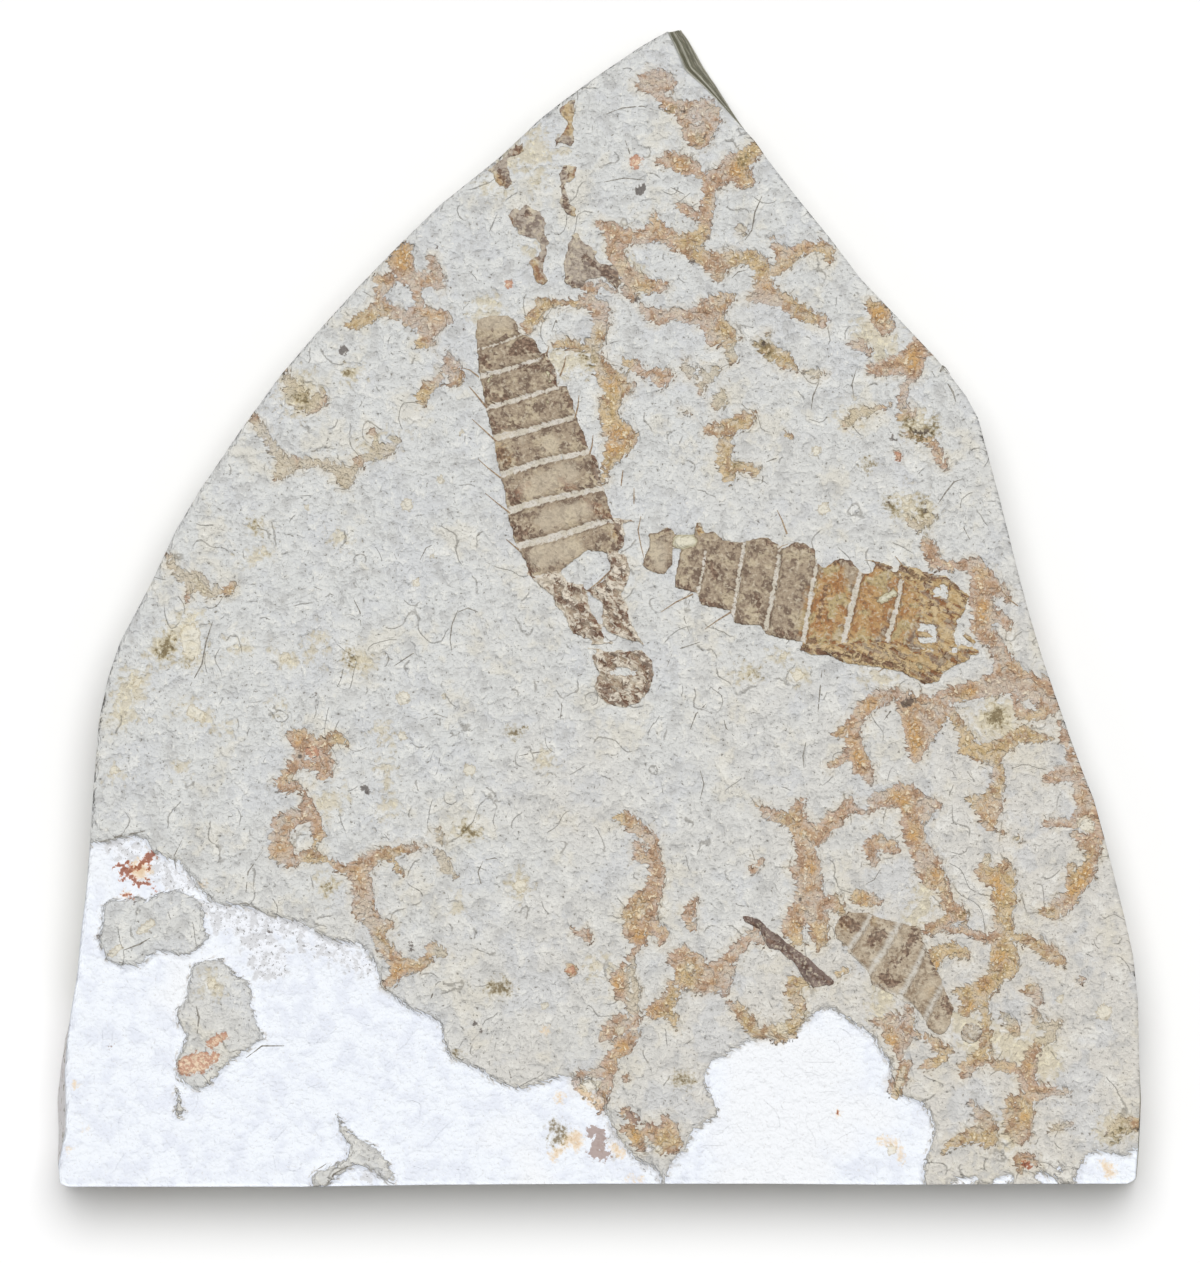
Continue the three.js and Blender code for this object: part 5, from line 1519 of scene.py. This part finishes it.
def film_finish(
    name, plate_colours, joint_colours, warm_colours, crushed, turn=0, softness=0.07, rim_share=0.6,
):
    """Brown mineral film: plates with dark rims between pale joints, and crushed parts full of splinters."""
    film = Finish(name, roughness=0.78)
    joint = film.lay(
        joint_colours[0],
        (film.lumps, -1.5, 1.5, 1, joint_colours[1]),
        (film.crumbs, -0.6, -2.4, 0.5, (160, 148, 132)),
    )

    plate = film.ragged("plate", 0.04, 0.03)
    rim = film.times(film.mask(plate, -0.26, -0.02), film.mask(film.lumps, -1.4, 0.6))
    skin = plate_skin(film, plate_colours, warm_colours)
    skin = film.mix(film.times(rim, rim_share), skin, (108, 88, 73))

    husk = film.ragged("husk", 0.1, 0.06)
    streaks = film.noise(0.7, detail=2, turn=turn, stretch=2.2, shift=51)
    flake = film.lay(crushed[2], (film.bits, -1.2, 1.0, 1, plate_colours[0]))
    shards = film.lay(
        crushed[0],
        (film.bits, -1.0, 1.0, 1, crushed[1]),
        (film.sum(streaks, film.crumbs, 0.4), 0.2, -1.4, 1, flake),
    )
    gaps = film.times(film.mask(film.cell_edges(1.2), 0.1, 0.02), film.mask(streaks, 0.4, -1.0))
    shards = film.mix(film.times(gaps, 0.6), shards, (120, 90, 72))

    sooty = film.lay((92, 70, 58), (film.crumbs, -1.0, 1.4, 1, (140, 112, 94)))
    hole = film.ragged("hole", 0.06, 0.05)
    nodule_and_glint = film.ragged("nodule_and_glint", 0.05, 0.04)
    # The bright centres are cream crystals, and on the upper larva painted glints
    crystal_and_glint = film.lay((222, 217, 196), (nodule_and_glint, -0.35, -0.05, 1, (186, 178, 148)))
    film.colour(film.lay(
        joint,
        (plate, softness, -softness, 1, skin),
        (husk, 0.08, -0.08, 1, shards),
        (film.ragged("soot", 0.13, 0.08), 0.12, -0.16, 0.72, sooty),
        (film.ragged("pale", 0.15, 0.08), 0.35, -0.35, 0.5, (210, 198, 176)),
        (film.math("ABSOLUTE", hole), 0.14, 0.0, 0.5, (120, 92, 70)),
        (hole, 0.0, -0.12, 1, (216, 216, 212)),
        (nodule_and_glint, 0.14, 0.02, 0.7, (112, 96, 78)),
        (nodule_and_glint, 0.02, -0.06, 1, crystal_and_glint),
    ))
    relief = film.sum(film.times(film.crumbs, 0.014), film.bits, 0.022)
    relief = film.sum(relief, film.times(streaks, film.mask(husk, 0.1, -0.1)), 0.03)
    film.bump(relief)
    return film.material


TAUPE = ((168, 151, 130), (123, 105, 90), (190, 175, 149))
OCHRE = ((188, 150, 100), (168, 120, 74), (184, 164, 120))
BARE_JOINT = ((214, 208, 198), (204, 196, 180))
brown_film = film_finish(
    "brown film", TAUPE, BARE_JOINT, ((166, 128, 98), (142, 96, 74), (182, 156, 120)),
    crushed=((196, 184, 166), (224, 214, 198), (134, 104, 86)), turn=-55,
)
ochre_film = film_finish(
    "ochre film", TAUPE, BARE_JOINT, OCHRE,
    crushed=((188, 160, 116), (204, 182, 144), (146, 104, 70)), turn=-20,
)
tan_film = film_finish(
    "tan film", ((179, 163, 141), (151, 132, 111), (196, 183, 162)), ((208, 204, 196), (202, 196, 184)),
    ((178, 154, 120), (160, 130, 96), (188, 168, 134)),
    crushed=((196, 186, 170), (212, 205, 192), (160, 144, 126)), turn=-50, softness=0.3, rim_share=0.2,
)

upper = lay_larva("upper_larva_film", UPPER_PARTS_PX)
right = lay_larva("right_larva_film", RIGHT_PARTS_PX)
lower = lay_larva("lower_larva_film", LOWER_PARTS_PX)
for film, node, material, slot in (
    (upper, "upper_larva", brown_film, "brown_film"),
    (right, "right_larva", ochre_film, "ochre_film"),
    (lower, "lower_larva", tan_film, "brown_film"),
):
    film.data.materials.append(material)
    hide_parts(node)
    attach(film, "root")

# %% [markdown]
# ## The scraps of the tail, and the plant
# The three tail filaments ran from the abdomen to the slab's edge. Only ragged patches of them are left.
# Each patch is a film of its own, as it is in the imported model. The dark plant scrap is made the same way.

# %% Lay the scraps
TAIL_OUTLINES_PX = {
    "upper_larva_left_tail": [
        (506, 214), (512, 208), (519, 208), (526, 201), (532, 207), (541, 211), (546, 216), (547, 226),
        (544, 233), (550, 240), (548, 248), (546, 260), (545, 272), (549, 282), (543, 288), (535, 282),
        (532, 270), (528, 262), (534, 256), (540, 250), (536, 240), (524, 238), (516, 234), (513, 226),
    ],
    "upper_larva_left_tail_tip": [
        (488, 170), (494, 164), (502, 158), (508, 150), (516, 143), (523, 143), (526, 150), (520, 156),
        (510, 158), (506, 163), (510, 174), (513, 184), (509, 190), (500, 188), (495, 180),
    ],
    "upper_larva_middle_tail": [
        (561, 165), (569, 163), (577, 167), (576, 178), (568, 184), (566, 194), (571, 202), (577, 208),
        (577, 218), (572, 218), (565, 212), (558, 204), (561, 190), (559, 176),
    ],
    "upper_larva_middle_tail_tip": [
        (560, 108), (567, 101), (575, 98), (576, 110), (573, 120), (575, 130), (575, 142), (570, 147),
        (562, 144), (555, 147), (554, 140), (562, 132), (567, 122), (561, 116),
    ],
    "upper_larva_right_tail": [
        (570, 234), (578, 232), (582, 240), (590, 243), (596, 250), (597, 259), (604, 263), (614, 265),
        (620, 272), (622, 283), (618, 290), (611, 286), (604, 279), (594, 279), (586, 282), (580, 288),
        (572, 290), (564, 284), (563, 272), (562, 262), (566, 250),
    ],
}
TAIL_SOOT_PX = [
    [(604, 270, 5), (616, 276, 6), (618, 284, 4)], [(546, 284, 3)], [(572, 286, 3), (566, 276, 2)],
    [(586, 256, 3), (596, 266, 3)], [(508, 186, 4)], [(528, 212, 4)], [(558, 142, 3)], [(573, 144, 3)],
    [(568, 210, 3)], [(518, 150, 4)], [(500, 172, 2), (504, 180, 3)], [(546, 250, 1), (546, 262, 1)],
    [(566, 166, 1), (563, 190, 1), (566, 208, 1)],
]
TAIL_WARM_PX = [
    [(534, 262, 4), (537, 276, 6), (544, 285, 4)], [(566, 108, 6), (568, 128, 8)], [(510, 222, 4)],
    [(574, 180, 4), (574, 170, 3)], [(498, 180, 6), (500, 190, 6)], [(574, 212, 3)], [(518, 150, 5)],
]
PLANT_OUTLINE_PX = [
    (741, 916), (747, 914), (761, 919), (768, 927), (779, 934), (788, 942), (799, 950), (809, 957),
    (815, 962), (819, 967), (832, 977), (836, 983), (833, 986), (822, 987), (813, 989), (805, 983),
    (798, 971), (793, 963), (784, 957), (779, 951), (768, 950), (763, 940), (758, 930), (750, 926),
    (743, 922),
]
PLANT_RIB_PX = [[(746, 917, 1), (766, 938, 1), (792, 955, 1), (814, 974, 1), (832, 985, 1)]]
SCRAP_STEP = 0.12 * MM
SCRAP_BASE = 0.02 * MM
SCRAP_LIFT = 0.12 * MM
SCRAP_ROUGHNESS = 0.06 * MM


def lay_scrap(name, outline, soot, warm, fray):
    border = Border([outline], fray=fray)

    def lift(points):
        inside = ramp(-border.plain(points), -0.1 * MM, 0.2 * MM)
        rough = noise_field(points, 0.5 * MM, octaves=3, shift=2.0)
        return SCRAP_BASE + inside * (SCRAP_LIFT + SCRAP_ROUGHNESS * rough)

    scrap = lay_film(name, border, lift, step=SCRAP_STEP)
    spots = vertex_places(scrap)[:, :2]
    store(scrap, "plate", np.clip(border.plain(spots) / MM - 0.2, -REACH, REACH))
    store(scrap, "soot", np.clip(stroke_distance(spots, soot) / MM, -REACH, REACH))
    store(scrap, "warm", np.clip(stroke_distance(spots, warm) / MM, -REACH, REACH))
    for part in ("husk", "pale", "hole", "nodule_and_glint"):
        store(scrap, part, np.full(len(spots), REACH))
    return scrap


tail_film = film_finish(
    "tail film", ((175, 163, 150), (137, 123, 113), (206, 195, 173)), ((206, 200, 188), (192, 180, 160)),
    ((178, 146, 108), (150, 110, 80), (192, 168, 128)),
    crushed=BARE_JOINT + ((140, 120, 100),), softness=0.12,
)
plant_film = film_finish(
    "plant film", ((126, 109, 102), (104, 88, 82), (142, 126, 117)), ((150, 134, 120), (126, 110, 100)),
    ((150, 110, 80), (120, 86, 66), (160, 130, 100)), crushed=BARE_JOINT + ((120, 100, 90),),
)
for node, outline in TAIL_OUTLINES_PX.items():
    scrap = lay_scrap(node + "_film", outline, TAIL_SOOT_PX, TAIL_WARM_PX, fray=0.25 * MM)
    scrap.data.materials.append(tail_film)
    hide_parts(node)
    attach(scrap, "root")
plant = lay_scrap("plant_scrap_film", PLANT_OUTLINE_PX, PLANT_RIB_PX, [], fray=0.08 * MM)
plant.data.materials.append(plant_film)
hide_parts("plant_scrap")
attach(plant, "root")

# %% [markdown]
# ## Bristles and hairline cracks
# The finest things on the face are the bristles at the abdomens' sides, the edges of loose splinters and
# the hairline cracks where a flake of grey shale has lifted. Each is a thin tapering thread, made by
# extruding a small hexagon from point to point, and laid on the stone or half sunk in it. A crack's
# thread is painted shadow: a dark sliver along the step where the flake has lifted.

# %% Draw threads
THREAD_SIDES = 6
THINNEST_PX = 0.12


def ground_height(x, y):
    spot = np.array([(x, y)])
    return face_height(spot, white_distance(spot), net_distance(spot))[0]


def draw_threads(name, paths, flatness, lift):
    """Threads through (x, y, tenths of half the width) in pixels, flattened onto the stone, in one mesh."""
    threads = bmesh.new()
    for path in paths:
        spots = [Vector((*on_stone(x, y), 0)) for x, y, tenths in path]
        for spot in spots:
            spot.z = ground_height(spot.x, spot.y) + lift
        widths = [max(tenths / 10, THINNEST_PX) * PIXEL for x, y, tenths in path]
        aim = (spots[1] - spots[0]).normalized()
        across = Vector((-aim.y, aim.x, 0)).normalized()
        turn = Matrix((across, Vector((0, 0, 1)), -aim)).transposed().to_4x4()
        squash = Matrix.Diagonal((widths[0], widths[0] * flatness, 1, 1))
        ring = bmesh.ops.create_circle(
            threads, cap_ends=True, segments=THREAD_SIDES, radius=1,
            matrix=Matrix.Translation(spots[0]) @ turn @ squash,
        )["verts"]
        cap = ring[0].link_faces[0]
        for here, there, wide, next_wide in zip(spots, spots[1:], widths, widths[1:]):
            made = bmesh.ops.extrude_face_region(threads, geom=[cap], use_keep_orig=here is spots[0])["geom"]
            cap = next(part for part in made if isinstance(part, bmesh.types.BMFace))
            shrink = Matrix.Scale(next_wide / wide, 4) @ Matrix.Translation(-here)
            shrink = Matrix.Translation(there) @ shrink
            bmesh.ops.transform(threads, matrix=shrink, verts=cap.verts)
    bmesh.ops.recalc_face_normals(threads, faces=threads.faces)
    piece = link_mesh(name, threads)
    print(name, "threads:", len(paths), "faces:", len(piece.data.polygons))
    return piece


def thread_finish(name, dark, light):
    thread = Finish(name, roughness=0.8)
    thread.colour(thread.lay(dark, (thread.crumbs, -1.5, 1.5, 1, light)))
    thread.bump(thread.times(thread.crumbs, 0.01))
    return thread.material


# %% Bristles
BRISTLES_PX = [
    [(463, 368, 3), (470, 370, 6), (479, 377, 10)], [(462, 379, 3), (474, 392, 7), (487, 408, 12)],
    [(472, 419, 3), (484, 430, 7), (497, 442, 11)], [(478, 459, 3), (488, 468, 6), (501, 478, 10)],
    [(485, 493, 3), (497, 503, 6), (510, 513, 10)], [(506, 539, 3), (513, 545, 7), (521, 552, 11)],
    [(549, 346, 3), (547, 353, 9), (544, 360, 12)], [(566, 356, 3), (564, 366, 9), (560, 376, 10)],
    [(579, 395, 3), (578, 406, 8), (575, 418, 10)], [(593, 435, 3), (592, 446, 8), (589, 456, 11)],
    [(623, 470, 4), (622, 478, 8), (621, 486, 5)], [(634, 488, 3), (634, 498, 7), (634, 504, 4)],
    [(641, 516, 3), (638, 530, 7), (641, 546, 6), (644, 558, 3)],
    [(661, 612, 3), (676, 602, 7), (693, 594, 10)], [(705, 629, 3), (718, 620, 7), (731, 612, 10)],
    [(777, 510, 3), (782, 520, 7), (787, 534, 10)], [(775, 552, 5), (782, 546, 6), (788, 544, 3)],
    [(895, 556, 3), (903, 566, 9), (909, 580, 9)], [(900, 645, 3), (914, 648, 9), (930, 646, 3)],
    [(880, 641, 5), (890, 652, 13), (902, 664, 13), (918, 676, 8), (926, 680, 4)],
    [(878, 672, 3), (884, 668, 7), (890, 664, 5)], [(1001, 590, 3), (1010, 600, 10), (1018, 606, 5)],
    [(545, 478, 4), (556, 486, 13), (571, 491, 5)], [(583, 499, 4), (590, 505, 12), (604, 516, 10)],
    [(587, 591, 4), (599, 582, 11), (613, 568, 6)],
]
bristles = draw_threads("bristles", BRISTLES_PX, flatness=0.6, lift=0.04 * MM)
bristles.data.materials.append(thread_finish("bristle brown", (134, 112, 92), (178, 158, 132)))
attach(bristles, "root")

# %% Hairline cracks, drawn as dark threads of painted shadow
CRACK_SHADOWS_PX = [
    [(213, 620, 3), (206, 642, 9), (202, 664, 9), (190, 686, 3)],
    [(394, 666, 3), (412, 654, 8), (440, 646, 3)],
    [(483, 861, 3), (478, 872, 8), (481, 884, 8), (491, 888, 3)],
    [(485, 860, 3), (495, 858, 7), (503, 862, 3)], [(519, 756, 3), (532, 753, 8), (548, 751, 3)],
    [(458, 610, 3), (452, 624, 8), (450, 640, 6), (452, 652, 3)],
    [(478, 612, 3), (468, 608, 8), (458, 612, 6)], [(354, 600, 3), (360, 612, 7), (361, 626, 3)],
    [(607, 324, 3), (606, 340, 9), (608, 360, 3)],
    [(606, 114, 3), (622, 108, 7), (642, 106, 7), (658, 111, 3)],
    [(762, 464, 3), (763, 478, 8), (760, 492, 3)], [(766, 462, 3), (774, 459, 9), (783, 457, 3)],
    [(820, 380, 3), (813, 396, 9), (811, 410, 3)],
    [(938, 504, 3), (946, 492, 9), (954, 482, 9), (962, 479, 3)],
    [(856, 370, 3), (852, 384, 7), (854, 398, 3)], [(604, 182, 3), (624, 178, 7), (646, 180, 3)],
    [(625, 140, 3), (630, 154, 7), (618, 164, 3)], [(668, 186, 3), (676, 190, 6), (684, 194, 3)],
    [(762, 196, 3), (755, 212, 9), (752, 230, 7), (745, 240, 3)],
    [(732, 278, 3), (738, 272, 8), (746, 270, 3)], [(538, 320, 3), (544, 312, 7), (556, 308, 3)],
    [(560, 330, 3), (556, 320, 7), (550, 336, 3)], [(658, 690, 3), (672, 654, 3)],
    [(822, 670, 3), (820, 690, 9), (818, 712, 3)], [(690, 730, 3), (696, 714, 9), (706, 704, 3)],
    [(670, 652, 3), (682, 648, 8), (700, 642, 3)], [(806, 742, 3), (803, 756, 8), (804, 768, 3)],
    [(884, 720, 3), (890, 712, 9), (897, 704, 3)], [(724, 720, 3), (726, 728, 8), (734, 736, 3)],
    [(176, 870, 3), (174, 856, 8), (182, 840, 3)], [(246, 892, 3), (248, 872, 8), (262, 852, 3)],
    [(436, 983, 3), (432, 996, 8), (424, 1010, 3)], [(446, 981, 3), (438, 982, 5), (434, 988, 3)],
    [(196, 1006, 4), (199, 1018, 13), (197, 1034, 5)], [(509, 1070, 3), (511, 1078, 7), (510, 1086, 3)],
    [(284, 1046, 4), (262, 1046, 10), (246, 1058, 4)], [(100, 842, 4), (120, 836, 12), (145, 831, 4)],
    [(206, 903, 3), (224, 905, 10), (246, 903, 8), (262, 911, 3)],
    [(119, 962, 4), (134, 966, 12), (143, 962, 4)], [(150, 938, 3), (140, 944, 10), (124, 950, 4)],
    [(176, 1092, 3), (180, 1102, 10), (176, 1112, 5)], [(310, 1184, 5), (314, 1172, 10), (326, 1164, 4)],
    [(326, 1186, 5), (334, 1174, 11), (348, 1166, 5)], [(880, 870, 3), (874, 880, 6), (866, 884, 3)],
    [(556, 690, 3), (562, 706, 6), (560, 720, 3)], [(420, 560, 3), (426, 548, 6), (438, 542, 3)],
    [(300, 590, 3), (312, 586, 6), (322, 590, 3)], [(690, 600, 3), (684, 618, 6), (690, 634, 3)],
    [(970, 540, 3), (964, 528, 7), (966, 516, 3)], [(700, 770, 3), (704, 784, 7), (700, 800, 3)],
    [(420, 720, 3), (436, 714, 6), (448, 718, 3)], [(940, 372, 8), (944, 366, 20), (950, 374, 6)],
    [(948, 384, 5), (953, 392, 12), (956, 402, 4)],
]
# Painted shadow: dark threads along the steps where flakes have lifted
crack_shadows = draw_threads("hairline_crack_shadows", CRACK_SHADOWS_PX, flatness=0.25, lift=0.0)
crack_shadows.data.materials.append(thread_finish("crack shadow", (118, 113, 105), (158, 154, 146)))
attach(crack_shadows, "root")
